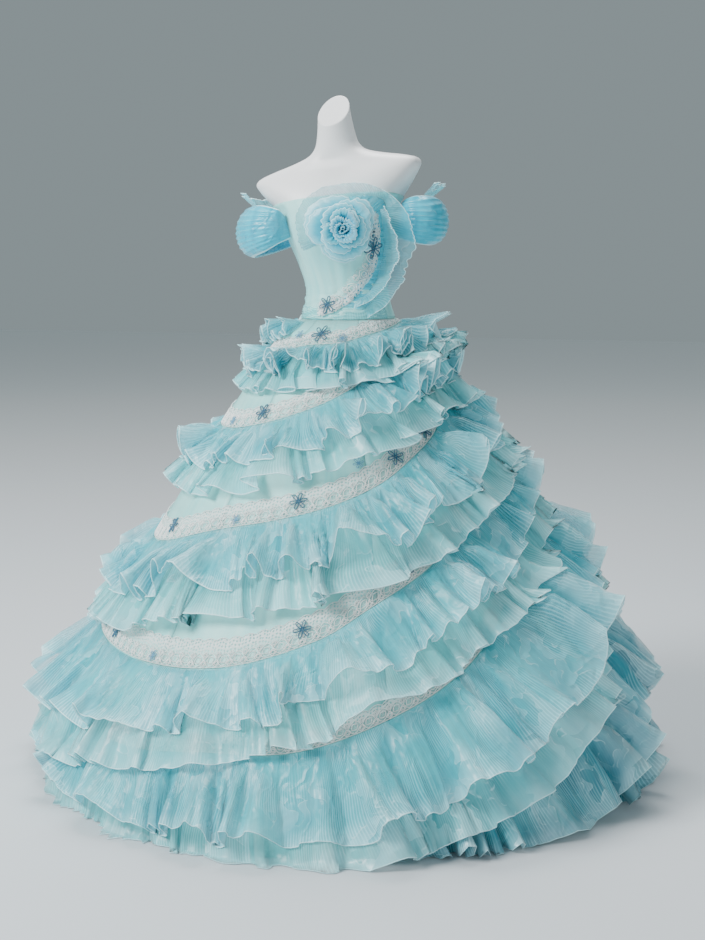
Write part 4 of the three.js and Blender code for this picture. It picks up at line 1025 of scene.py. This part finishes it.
# seam, azimuth, rise above the seam, size; stitched on the skirt and its lace, all round the gown
SMALL_FLOWERS = [
    ("waist", 12, 10, 11), ("waist", -30, 30, 10), ("hip", 6, 52, 10), ("hip", -50, 16, 11),
    ("hip", 110, 20, 12), ("hip", 165, 20, 12), ("hip", -120, 20, 11), ("thigh", -20, 16, 11),
    ("thigh", 24, 64, 12), ("thigh", 95, 30, 12), ("thigh", 150, 26, 13), ("thigh", -110, 26, 12),
    ("thigh", -160, 28, 12), ("knee", -30, 16, 12), ("knee", 22, 70, 12), ("knee", 110, 34, 13),
    ("knee", 160, 30, 12), ("knee", -100, 30, 13), ("knee", -150, 30, 12),
]


def small_flowers():
    """The smaller flowers, joined in one piece. Each lies on the skirt or on the lace over it."""
    meshes = []
    for seam, az, rise, size in SMALL_FLOWERS:
        z = float(seam_z(seam, az)) + rise
        meshes.append(flower_mesh(size, skirt_patch(az, z), float(cover_at(az, z, 2)) + FLOWER_STAND))
    vertices, faces = joined(meshes)
    dress(make_object("small_flowers", vertices, faces), FAINT_THREAD)


small_flowers()

# azimuth and z of each bead on the bodice
BEADS = [(45, 1264), (48, 1256), (46, 1248), (49.5, 1241), (48, 1233)]
BEAD_TURN, BEAD_THICKNESS, BEAD_HEIGHT = 1.5, 1.4, 8.6


def beads():
    """Small glass rings that lie flat on the lace."""
    t = np.arange(PETAL_POINTS) / PETAL_POINTS * 2 * np.pi
    meshes = []
    for az, z in BEADS:
        patch = bodice_patch(az, z)
        low, high = (patch(BEAD_TURN * np.cos(t), BEAD_TURN * np.sin(t), BEAD_HEIGHT + up)[None]
                     for up in (0, 1))
        meshes.append(tubes(low, high - low, BEAD_THICKNESS))
    vertices, faces = joined(meshes)
    dress(make_object("beads", vertices, faces), BEAD_GLASS)


beads()
print("flowers and beads:", TOTALS)

# %% [markdown]
# ## Ruffles
#
# A ruffle is a strip of organza gathered on a tilted seam. It falls from the seam, leaning towards
# plumb, and flares. Its folds are main waves that match the solids, smaller folds between them that
# swing sideways as well as outward, so that they curl under like a meander, and fine gathers at the
# seam that die out on the way down. They are placed as waves of uneven length and depth,
# because a real ruffle's folds are stitched in place and not left to gravity.

# %% Fall of the cloth
FALL_TURN, SLOPE_STEP = 0.55, 3


def fall_direction(seam, az, ring):
    """Square to the seam and down, leaning to plumb: how far the cloth turns and drops for each
    millimetre that it falls."""
    radius = ring_radius(az, seam_z(seam, az, ring))
    rise = seam_z(seam, az + SLOPE_STEP, ring) - seam_z(seam, az - SLOPE_STEP, ring)
    slope = rise / (2 * math.radians(SLOPE_STEP) * radius) * FALL_TURN
    length = np.hypot(slope, 1)
    return np.degrees(slope / length / radius), math.cos(CONE_LIFT) / length, radius


LEAST_WAVE, WAVE_RANGE, WAVE_STEP, SEED_STEP = 0.72, 0.42, 2.3, 1.9


def unevenness(wave, seed):
    """Each half wave has its own depth: a base and the size of a sine of its number."""
    return LEAST_WAVE + WAVE_RANGE * np.abs(np.sin(wave * WAVE_STEP + seed * SEED_STEP))


# %% One layer of a ruffle
GATHER_PITCH, GATHER_DEPTH = 11.0, 2.4
FOLD_LENGTH, FOLD_REACH, MEANDER, CRUMPLE, FAN = 58.0, 30.0, 0.12, 2.4, 14.0
FOLD_DRIFT, FOLD_WANDER, FOLD_DEPTHS, CREASE_LENGTH = 1.4, 1.5, (0.12, 1.7), 45
LAYER_GAP, LEAST_DROP = 2.0, 0.4
HEM_LIFT, HEM_GLOW = 1.15, 0.32
SIDE_AZ, SIDE_WIDTH, SIDE_SWELL = 85.0, 45.0, 0.7
UPPER = dict(column_step=0.45, rows=12, period=18.0, fold=1.0, ragged=0.03, crumple=1.0)
UNDER = dict(column_step=0.65, rows=8, period=45.0, fold=0.55, ragged=0.01, crumple=0.5)


def ruffle(name, seam, falls, material, seed, layer, flare, swing, share=1.0, span=None):
    """Rows from the seam to the hem. The height over the skirt is the flare plus the folds, both
    growing with the fall. Where a fold stands out, its hem rises, by the side of a right triangle
    whose long side is the cloth's own length."""
    ring = span is None
    first, last = span or (0, 360)
    count = round((last - first) / layer["column_step"]) + (0 if ring else 1)
    az = first + np.arange(count) * (last - first) / (count if ring else count - 1)
    turn, drop, radius = fall_direction(seam, az, ring)
    fall = ease(falls, az, 360 if ring else None)[..., 0] * share
    fall = fall * (1 + layer["ragged"] * wander(az, 0, seed + 10, 6, 40))
    part = hem_rows(layer["rows"], HEM_ROLL / fall.mean())
    down = fall * part

    # Main waves, and folds between them whose number, depth and place wander
    drift = wander(az, 0, seed + 15, 3, 16) * FOLD_DRIFT
    phase = 2 * np.pi * az / layer["period"] + drift
    wave = crisp(phase) * unevenness(np.floor(2 * az / layer["period"]), seed)
    folds = max(2, round(2 * np.pi * radius.mean() * layer["period"] / 360 / FOLD_LENGTH))
    fold_phase = phase * folds + wander(az, part, seed + 20, 7, 30, 0.5) * FOLD_WANDER
    depth = np.clip(0.7 + 0.45 * wander(az, 0, seed + 40, 9, 45), *FOLD_DEPTHS)
    spread = smooth(part, 0.0, 0.45) * (0.3 + 0.7 * part)
    swell = 1 + SIDE_SWELL * np.exp(-((az - SIDE_AZ) / SIDE_WIDTH) ** 2)
    fold = crisp(fold_phase) * depth * swell * layer["fold"]
    height = down * flare + wave * down * swing * (0.4 + 0.6 * part) + fold * spread * FOLD_REACH
    sideways = -np.sin(2 * fold_phase) * MEANDER * FOLD_LENGTH * spread * depth
    fan = wander(az, 0, seed + 50, 8, 26) * FAN * part ** 1.5

    # Fine gathers at the seam, and crumples further down
    gathers = crisp(2 * np.pi * az * round(2 * np.pi * radius.mean() / GATHER_PITCH) / 360
                    + wander(az, part, seed + 60, 20, 60, 1.0) * 1.5)
    height = height + gathers * GATHER_DEPTH * smooth(part, 0, 0.08) * (1 - smooth(part, 0.2, 0.9))
    creases = np.abs(wander(az, down / CREASE_LENGTH, seed + 80, 30, 110, 1.0))
    height = height + (0.7 - creases) * CRUMPLE * layer["crumple"] * smooth(part, 0.1, 0.5)

    height = np.maximum(height, SKIN_GAP)
    length = np.sqrt(np.maximum(down ** 2 - (height * HEM_LIFT) ** 2, (LEAST_DROP * down) ** 2))
    cell_az = az + turn * down + np.degrees((sideways + fan) / radius)
    cell_z = seam_z(seam, az, ring) - drop * length
    cell_z = np.maximum(cell_z, HEM_CLEARANCE - height * math.sin(CONE_LIFT))
    below = cover_at(cell_az, cell_z)
    height = np.where(below > 0, np.maximum(height, below + LAYER_GAP * smooth(part, 0, 0.1)), height)
    cell_z = np.maximum(cell_z, HEM_CLEARANCE - height * math.sin(CONE_LIFT))
    cover_with(cell_az, cell_z, height + ORGANZA_THICKNESS)
    points = on_skirt(cell_az, cell_z, height)

    edge = hem_values(len(part), smooth(part[:, 0], 0.72, 1.0) * HEM_GLOW, 1.0)[:, None]
    # The ridge mark sets the organza's painted shade and painted highlight: deeper colour in the valleys and
    # near the seam, where it is kept low, and whiter on the fold tops
    ridge = np.clip(0.5 + 0.33 * fold / layer["fold"] + 0.25 * wave + 0.12 * gathers, 0, 1)
    ridge = ridge * smooth(part, -0.1, 0.35)
    thickness = hem_values(len(part), ORGANZA_THICKNESS, HEM_THICKNESS)
    cloth_piece(name + "_cloth", points, thickness, material, [name],
                ring, edge, ridge)


# %% Sweep, train and tiers, from the floor up
# azimuth and fall
SWEEP_FALLS = [[78, 140], [100, 240], [135, 360], [165, 370], [190, 280]]
TRAIN_FALLS = [[24, 90], [60, 250], [90, 250], [130, 270], [180, 380], [215, 330], [238, 200]]
# seam, share of the fall in the upper layer, flare, swing, falls
TIERS = {
    5: ("shin", 0.74, 0.3, 0.16, [[-150, 340], [-90, 270], [-60, 230], [-20, 260], [20, 310], [60, 310],
                                  [110, 260], [170, 270]]),
    4: ("knee", 0.66, 0.26, 0.17, [[-150, 260], [-105, 390], [-76, 410], [-50, 310], [-10, 215],
                                   [40, 200], [110, 215], [170, 225]]),
    3: ("thigh", 0.66, 0.29, 0.19, [[-150, 215], [-60, 222], [0, 208], [50, 200], [110, 205], [170, 212]]),
    2: ("hip", 0.64, 0.34, 0.2, [[-150, 170], [-60, 172], [0, 165], [60, 170], [120, 178]]),
    1: ("waist", 0.66, 0.38, 0.2, [[-150, 100], [-60, 106], [0, 112], [60, 118], [110, 116]]),
}
PEPLUM_FALLS = [[168, 40], [220, 66], [280, 70], [316, 34]]
UNDER_FLARE, UNDER_SWING = 0.55, 0.07

ruffle("sweep", "sweep", SWEEP_FALLS, ORGANZA_LAGOON, 1, UPPER, 0.22, 0.12, span=(78, 190))
ruffle("train", "train", TRAIN_FALLS, ORGANZA_LAGOON, 2, UPPER, 0.24, 0.11, span=(24, 238))
for number, (seam, upper_share, flare, swing, falls) in TIERS.items():
    ruffle(f"tier_{number}_under", seam, falls, ORGANZA_PALE, number * 3, UNDER,
           flare * UNDER_FLARE, UNDER_SWING)
    ruffle(f"tier_{number}_upper", seam, falls, ORGANZA, number * 3 + 1, UPPER, flare, swing,
           upper_share)
ruffle("peplum", "hips_frill", PEPLUM_FALLS, ORGANZA, 31, UPPER, 0.36, 0.16, span=(168, 316))
print("ruffles:", TOTALS)

# %% [markdown]
# ## Bodice trim
#
# The collar is a swirl of organza strips that stand off the bodice. Each row of a table says where
# the strip is sewn on and where its free edge stands. Between it and the rose the bodice is covered
# with pleated organza, round the waist with a pulled band, and a strip of lace curls down the front.

# %% Collar
# azimuth and z on the bodice; x, y and z of the free edge
COLLAR_OUTER = [
    [-15, 1212, -46, -130, 1202], [-18, 1232, -58, -136, 1232], [-17, 1264, -60, -142, 1264],
    [-12, 1292, -48, -142, 1306], [2, 1310, -4, -134, 1336], [22, 1314, 46, -126, 1348],
    [42, 1310, 108, -114, 1343], [60, 1296, 156, -94, 1313], [74, 1254, 188, -76, 1256],
    [80, 1212, 190, -62, 1213], [80, 1168, 174, -56, 1167], [72, 1130, 162, -66, 1130],
    [52, 1092, 136, -88, 1083], [34, 1068, 96, -106, 1054],
]
COLLAR_MIDDLE = [
    [56, 1284, 134, -116, 1298], [64, 1254, 150, -108, 1257], [68, 1216, 160, -98, 1220],
    [67, 1180, 160, -92, 1184], [60, 1142, 144, -94, 1146], [44, 1108, 112, -108, 1098],
    [24, 1086, 66, -118, 1074],
]
COLLAR_GAP, COLLAR_ROWS = 1.5, 12


def collar(name, rows, columns, waves, swing, bulge, seed):
    """From the seam to the free edge along a shallow arch, with waves that grow to the edge."""
    share = np.linspace(0, 1, columns)
    place = along(rows, share)
    seam = on_bodice(place[:, 0], place[:, 1], COLLAR_GAP)
    edge = place[:, 2:].copy()
    part = hem_rows(COLLAR_ROWS)[..., None]
    across = edge - seam
    forward = figure_normal(place[:, 0], place[:, 1])
    turn = share * 360
    ripple = crisp(np.pi * 2 * waves * share + wander(turn, 0, seed, 3, 9) * 0.6) * swing
    fine = wander(turn, part[..., 0] * 2, seed + 1, 18, 60, 0.8) * 1.2
    lift = np.sin(np.pi * part) * bulge + part * ripple[:, None] + smooth(part, 0.1, 0.6) * fine[..., None]
    points = seam + across * part + forward * lift
    thickness = hem_values(len(part), ORGANZA_THICKNESS, HEM_THICKNESS)
    cloth_piece(name + "_cloth", points, thickness, ORGANZA_COLLAR,
                [name], edge=hem_values(len(part), 0.0, 1.0)[:, None])


collar("collar_outer", COLLAR_OUTER, 420, 7.5, 4, 8, 50)
collar("collar_middle", COLLAR_MIDDLE, 260, 4.5, 4, 7, 55)

# %% Gathered organza on the bodice
# azimuth and z where the swirl starts, row for row with the outer collar, and how far it is pleated
SWIRL_START = [
    [14, 1240], [12, 1246], [12, 1252], [14, 1258], [17, 1262], [22, 1262], [28, 1260], [36, 1256],
    [42, 1240], [45, 1210], [44, 1172], [34, 1140], [16, 1106], [-6, 1080],
]
SWIRL_SEAT, SWIRL_HEIGHT, SWIRL_PLEATS, SWIRL_ROWS, SWIRL_COLUMNS = 1.2, 3.2, 34, 16, 460
# azimuth, lower and upper edge of the band round the waist
WAIST_DRAPE = [
    [-78, 1046, 1078], [-50, 1046, 1074], [-20, 1046, 1080], [10, 1047, 1092], [40, 1048, 1106],
    [70, 1048, 1112],
]
DRAPE_PLEATS, DRAPE_SEAT, DRAPE_RISE, DRAPE_COLUMNS, DRAPE_ROWS = 7, 1.0, 3.4, 160, 40


def bodice_swirl():
    """Organza between the rose and the outer collar: straight lines from the start to the collar's
    seam, with sharp radiating pleats that wander. Its colour is deeper near the rose and between the
    pleats as painted shade, and whiter on the pleats' tops as painted highlight."""
    share = np.linspace(0, 1, SWIRL_COLUMNS)
    outer, inner = along(COLLAR_OUTER, share)[:, :2], along(SWIRL_START, share)
    part = np.linspace(0, 1, SWIRL_ROWS)[:, None]
    place = inner + (outer - inner) * part[..., None]
    angle = share * 2 * np.pi * SWIRL_PLEATS + wander(share * 360, part, 120, 4, 26, 0.8) * 1.4
    pleat = 1 - np.abs(np.sin(angle / 2))
    height = SWIRL_SEAT + SWIRL_HEIGHT * pleat * (0.4 + 0.6 * np.sin(part * np.pi))
    height = np.maximum(height + wander(share * 360, part * 4, 121, 9, 60, 1.0) * 0.4, SKIN_GAP)
    points = on_bodice(place[..., 0], np.maximum(place[..., 1], WAIST_Z + 3), height)
    # The ridge mark: painted shade near the rose and between the pleats, painted highlight on their tops
    cloth_piece("bodice_swirl_cloth", points, ORGANZA_THICKNESS, ORGANZA_ROSE,
                ridge=0.15 + 0.5 * part + 0.35 * pleat)


def waist_drape():
    """A band pulled round the waist: long folds that follow it, as a folded sine across the band
    whose phase drifts along it."""
    share, across = np.linspace(0, 1, DRAPE_COLUMNS), np.linspace(0, 1, DRAPE_ROWS)[:, None]
    az, low, high = np.moveaxis(along(WAIST_DRAPE, share), -1, 0)
    z = low + (high - low) * across
    angle = across * DRAPE_PLEATS * np.pi + wander(az, across * 2, 130, 2, 14, 0.8) * 0.9
    fold = 1 - np.abs(np.sin(angle)) ** 0.8
    height = DRAPE_SEAT + DRAPE_RISE * fold * np.sin(across * np.pi) ** 0.4
    points = on_bodice(az + 0 * z, np.maximum(z, WAIST_Z), height)
    points[..., 2] += np.minimum(z - WAIST_Z, 0)
    # The ridge mark paints shade between the folds and highlights on their tops
    cloth_piece("waist_drape_cloth", points, ORGANZA_THICKNESS, ORGANZA_PALE,
                ridge=0.2 + 0.75 * fold)


bodice_swirl()
waist_drape()

# %% Lace on the bodice
BODICE_NET_HEIGHT, BODICE_CORD_HEIGHT, BODICE_LACE_LENGTH = 5.2, 5.5, 320
BODICE_LACE_COLUMNS, BODICE_LACE_ROWS, RAGGED_EDGE, RAGGED_WAVES, SLOPE_SHARE = 90, 7, 0.16, 9, 0.02
# how many rosettes, their size, how far to the side
BODICE_ROSETTES = [(7, 12.5, 0.0), (8, 7.0, 9.0), (8, 7.0, -9.0)]
# azimuth, z, width
BODICE_LACE = [[44, 1276, 26], [49, 1251, 30], [50, 1212, 32], [45, 1167, 34], [30, 1134, 36], [12, 1101, 36],
               [-9, 1078, 34], [-27, 1066, 28]]


def lace_strip(share, across):
    """Azimuth and z on the bodice: along the strip's middle line, and square to it by a length."""
    here, ahead, behind = (along(BODICE_LACE, np.clip(share + step, 0, 1))
                           for step in (0, SLOPE_SHARE, -SLOPE_SHARE))
    du = np.radians(ahead[..., 0] - behind[..., 0]) * BODICE_TURN_RADIUS
    dv = ahead[..., 1] - behind[..., 1]
    length = np.hypot(du, dv)
    az = here[..., 0] - np.degrees(dv / length * across / BODICE_TURN_RADIUS)
    return az, np.maximum(here[..., 1] + du / length * across, WAIST_Z + 2), here[..., 2]


def bodice_lace():
    """A net strip and cord rosettes, as on the skirt."""
    share = np.linspace(0, 1, BODICE_LACE_COLUMNS)
    level = np.linspace(-0.5, 0.5, BODICE_LACE_ROWS)[:, None]
    width = along(BODICE_LACE, share)[..., 2]
    ragged = 1 + RAGGED_EDGE * np.abs(np.sin(share * np.pi * RAGGED_WAVES))
    az, z, _ = lace_strip(share + 0 * level, level * width * ragged)
    points = on_bodice(az, z, BODICE_NET_HEIGHT)
    cloth_piece("bodice_lace_net", points, NET_THICKNESS, LACE_NET,
                ["bodice_lace"], ridge=level + 0.5)
    parts = []
    for count, size, side in BODICE_ROSETTES:
        flower = rosette_curves(size)
        centre = ((np.arange(count) + 0.5) / count)[:, None, None]
        run = flower[None, ..., 0] / BODICE_LACE_LENGTH
        az, z, _ = lace_strip(centre + run, flower[None, ..., 1] + side)
        curves = on_bodice(az, z, BODICE_CORD_HEIGHT + CORD_RADIUS)
        normals = on_bodice(az, z, BODICE_CORD_HEIGHT + 1 + CORD_RADIUS) - curves
        shape = (-1, LOOP_POINTS, 3)
        parts.append(tubes(curves.reshape(shape), normals.reshape(shape), CORD_RADIUS))
    vertices, faces = joined(parts)
    return dress(make_object("bodice_lace_cord", vertices, np.ascontiguousarray(faces)), LACE_CORD)


bodice_lace()
print("collar and lace:", TOTALS)

# %% [markdown]
# ## Rose
#
# A long organza strip is rolled into a rose: a spiral whose free edge stands up and opens from the
# tight core outwards. Single petals could be laid round a middle, but the real rose is a rolled
# strip, and a spiral gives its open turns and uneven lip. Three strips make it.

# %% Rose
ROSE_AZ, ROSE_Z, ROSE_TURN_RADIUS, ROOT_GAP = 17, 1250, 112, 0.8
ROSE_ROWS, ROSE_COLUMNS_A_TURN, PETAL_HEM = 12, 130, 0.9
# name, root radius from and to, edge radius from and to, rise from and to, turns, waves a turn,
# swing, material, slot
ROSE = [
    ("rose_outer", (22, 27), (46, 64), (34, 20), 1.9, 3.2, 5.0, ORGANZA_ROSE, "organza"),
    ("rose_inner", (12, 19), (26, 45), (38, 31), 2.2, 2.7, 4.0, ORGANZA_ROSE, "organza_deep"),
    ("rose_core", (0.6, 10), (1.5, 25), (33, 41), 3.2, 2.3, 2.2, ORGANZA_CORE, "organza_deep"),
]


def rose_strip(name, root, rim, rise, turns, waves, swing, material, slot):
    """A spiral: the angle grows with the share along the strip, and the edge is pinched in between
    the petals by a power of a sine and curls back where a petal is widest."""
    share = np.linspace(0, 1, round(turns * ROSE_COLUMNS_A_TURN))
    angle = share * turns * 2 * np.pi
    part = hem_rows(ROSE_ROWS)
    petal = np.abs(np.sin(angle * waves / 2 + 0.4 * np.sin(angle * 1.7))) ** 0.6
    edge = rim[0] + (rim[1] - rim[0]) * share + (petal - 0.75) * swing * 3
    base = root[0] + (root[1] - root[0]) * share
    top = rise[0] + (rise[1] - rise[0]) * share + (petal - 0.6) * swing
    crinkle = wander(np.degrees(angle), part * 3, 90, 9, 40, 0.8) * 0.9 * part
    radius = base + (edge - base) * part ** 1.7 + crinkle
    height = ROOT_GAP + top * np.sin(part * np.pi * 0.56)
    az = ROSE_AZ + np.degrees(radius * np.cos(angle) / ROSE_TURN_RADIUS)
    points = on_bodice(az, ROSE_Z + radius * np.sin(angle), height)
    edge = hem_values(len(part), smooth(part[:, 0], 0.6, 1) * 0.25, 0.8)[:, None]
    thickness = hem_values(len(part), ORGANZA_THICKNESS, PETAL_HEM)
    # The ridge mark paints shade at the petals' roots deep in the rose, and lightens the colour towards the
    # free edge as painted highlight
    cloth_piece(name + "_cloth", points, thickness, material, [name],
                edge=edge, ridge=part ** 1.5)


for strip in ROSE:
    rose_strip(*strip)
print("rose:", TOTALS)

# %% [markdown]
# ## Sleeves
#
# Each sleeve is a gathered band from the front of the bodice round the arm's place to its back. It
# puffs out between its two edges, with gathers that run its whole length. A frill stands on its top.
# The band is a path in plan with a puff across it, so that both sleeves come from one function.

# %% Sleeves
# x, y, lower edge, upper edge, puff
SLEEVES = {
    # side, azimuth in front, azimuth behind, rows
    "left": (1, 96, 126, [
        [152, -14, 1212, 1298, 14], [176, -26, 1204, 1306, 24], [198, -16, 1198, 1306, 34],
        [208, 8, 1196, 1304, 38], [204, 38, 1198, 1300, 38], [186, 66, 1204, 1296, 34],
        [158, 88, 1216, 1292, 24], [128, 96, 1226, 1288, 14]]),
    "right": (-1, 50, 126, [
        [112, -98, 1228, 1300, 14], [148, -92, 1212, 1312, 28], [180, -66, 1204, 1316, 38],
        [200, -26, 1200, 1312, 43], [202, 20, 1202, 1308, 43], [186, 62, 1208, 1304, 38],
        [158, 88, 1218, 1298, 26], [126, 96, 1228, 1290, 14]]),
}
SLEEVE_END_Z = (1230, 1288)
SLEEVE_TILT = 0.62
SLEEVE_GATHERS, SLEEVE_GATHER_DEPTH = 10, 3.0
SLEEVE_THICKNESS, SLEEVE_COLUMNS, SLEEVE_ROWS, SLEEVE_END_COLUMNS = 1.2, 90, 64, 14
SLEEVE_EASINGS, SLEEVE_PIPING = 16, 0.975
FRILL = dict(first=0.3, last=0.84, width=26, seat=1.7, lean=24, wave=7, columns=150, rows=9, folds=4, hem=1.2)


def sleeve_gather(share, across):
    """Narrow gathers along the sleeve, 1 on top and 0 between, which merge and wander a little."""
    drift = 0.9 * np.sin(share * 7 + across * 2.5) + 0.5 * np.sin(share * 15 + 1 + across * 5)
    return 1 - np.abs(np.sin((across + 1) * np.pi * SLEEVE_GATHERS / 2 + drift))


def sleeve_point(side, rows, share, across):
    """A point of the band: its plan path moved outward by a puff with the outline of half an oval,
    and by narrow gathers."""
    x, y, low, high, puff = np.moveaxis(along(rows, share), -1, 0)
    ahead, behind = along(rows, np.clip(share + 0.02, 0, 1)), along(rows, np.clip(share - 0.02, 0, 1))
    out_x, out_y = ahead[..., 1] - behind[..., 1], behind[..., 0] - ahead[..., 0]
    length = np.hypot(out_x, out_y)
    ends = np.sin(np.pi * share)
    gather = (sleeve_gather(share, across) - 0.5) * SLEEVE_GATHER_DEPTH
    bulge = np.sqrt(np.maximum(1 - across ** 2, 0)) * puff + gather * smooth(ends, 0, 0.3)
    z = (low + high) / 2 + across * (high - low) / 2 + side * x * SHOULDER_TILT * SLEEVE_TILT
    return np.stack([side * (x + out_x / length * bulge), y + out_y / length * bulge, z], -1)


def sleeve(name, side, front_az, back_az, rows):
    """The band's columns, with its two ends drawn in to the bodice."""
    share = np.linspace(0, 1, SLEEVE_COLUMNS)
    across = np.sin(np.linspace(-0.5, 0.5, SLEEVE_ROWS) * np.pi)[:, None]
    band = sleeve_point(side, rows, share + 0 * across, across + 0 * share)
    z = np.linspace(*SLEEVE_END_Z, len(across))
    ends = [on_bodice(side * az, z, COLLAR_GAP)[:, None] for az in (front_az, back_az)]
    reach = np.linspace(0, 1, SLEEVE_END_COLUMNS)[1:-1][None, :, None]
    front = ends[0] + (band[:, :1] - ends[0]) * reach
    back = band[:, -1:] + (ends[1] - band[:, -1:]) * reach
    points = np.concatenate([ends[0], front, band, back, ends[1]], 1)
    for _ in range(SLEEVE_EASINGS):
        points[:, 1:-1] = (points[:, :-2] + 2 * points[:, 1:-1] + points[:, 2:]) / 4
    edge = np.where(np.abs(across) > SLEEVE_PIPING, 0.9, 0.0)
    along_it = np.linspace(-0.1, 1.1, points.shape[1])
    # The ridge mark paints shade between the gathers and highlights on their tops
    ridge = sleeve_gather(along_it, across) ** 2
    cloth_piece(f"sleeve_{name}_cloth", points, SLEEVE_THICKNESS, ORGANZA_SLEEVE,
                [f"sleeve_{name}"], edge=edge, ridge=ridge)


def sleeve_frill(name, side, rows):
    """A strip that stands on the sleeve's top edge, with waves that grow to its free edge."""
    share = np.linspace(FRILL["first"], FRILL["last"], FRILL["columns"])
    root = sleeve_point(side, rows, share, np.ones_like(share))
    outward_way = root * [1, 1, 0]
    outward_way /= np.linalg.norm(outward_way, axis=-1, keepdims=True)
    part = hem_rows(FRILL["rows"], 0.05)
    wave = crisp(np.linspace(0, FRILL["folds"] * 2 * np.pi, len(share)))
    crumple = wander(share * 360, part, 70, 20, 60, 1.0)
    out = part * FRILL["lean"] + part * FRILL["wave"] * wave + part * 1.5 * crumple
    points = root + outward_way * out[..., None]
    points[..., 2] += FRILL["seat"] + part * FRILL["width"] + part * wave * 2
    thickness = hem_values(len(part), ORGANZA_THICKNESS, FRILL["hem"])
    cloth_piece(f"sleeve_frill_{name}_cloth", points, thickness, ORGANZA_COLLAR,
                [f"sleeve_frill_{name}"],
                edge=hem_values(len(part), 0.0, 1.0)[:, None])


for sleeve_name, (side, front_az, back_az, rows) in SLEEVES.items():
    sleeve(sleeve_name, side, front_az, back_az, rows)
    sleeve_frill(sleeve_name, side, rows)
print("sleeves:", TOTALS)

# %% [markdown]
# ## Studio
#
# A pale floor, painted paler far away as painted light, a soft even surround, a large key light
# from the upper left, one from above and a weaker fill.

# %% Floor and surround
FLOOR_HALF = 16.0
# Painted light: the far floor's colour is raised to make up for the lamps' fall-off
PAPER_NEAR, PAPER_FAR_PAINTED_LIGHT = (0.58, 0.62, 0.65, 1), (0.93, 0.96, 0.97, 1)
PAINTED_LIGHT_FROM, PAINTED_LIGHT_TO = 2.2, 9.0


def floor():
    """A flat square of paper. Far from the gown its colour is painted paler, as painted light that
    stands in for the lamps' light falling off with distance, so that it meets the surround softly.
    """
    corners = np.array([[-1, -1, 0], [1, -1, 0], [1, 1, 0], [-1, 1, 0]]) * FLOOR_HALF
    plane = make_object("floor", corners / MM, np.array([[0, 1, 2, 3]]))
    material, tree, shader = start("floor paper", 0.85)
    place = put(tree, "ShaderNodeTexCoord").outputs["Object"]
    far = put(tree, "ShaderNodeVectorMath", {0: place}, operation="LENGTH").outputs["Value"]
    feed(tree, shader, Base_Color=blend(tree, remap(tree, far, PAINTED_LIGHT_FROM, PAINTED_LIGHT_TO), PAPER_NEAR, PAPER_FAR_PAINTED_LIGHT))
    plane.data.materials.append(material)


floor()
SURROUND = (0.25, 0.3, 0.315, 1)
world = bpy.data.worlds.new("surround")
bpy.context.scene.world = world
world.use_nodes = True
world.node_tree.nodes["Background"].inputs["Color"].default_value = SURROUND
world.node_tree.nodes["Background"].inputs["Strength"].default_value = 1.0

# %% Lights
# name, place, size, power
LIGHTS = [
    ("key", (-3.4, -3.8, 4.4), 2.4, 590), ("fill", (4.2, -3.0, 2.6), 3.0, 40),
    ("top", (-0.5, 1.5, 5.2), 2.6, 260),
]
LIGHTS_AIM = (0, 0, 0.8)
for name, place, size, watts in LIGHTS:
    lamp = bpy.data.objects.new(name, bpy.data.lights.new(name, "AREA"))
    lamp.data.size, lamp.data.energy = size, watts
    lamp.location = place
    aim = np.array(LIGHTS_AIM) - np.array(place)
    yaw, pitch = math.atan2(aim[1], aim[0]), math.atan2(aim[2], math.hypot(aim[0], aim[1]))
    lamp.rotation_euler = (math.pi / 2 + pitch, 0, yaw - math.pi / 2)
    bpy.context.scene.collection.objects.link(lamp)

# %% Sizes and finish
print("triangles:", TOTALS["triangles"])
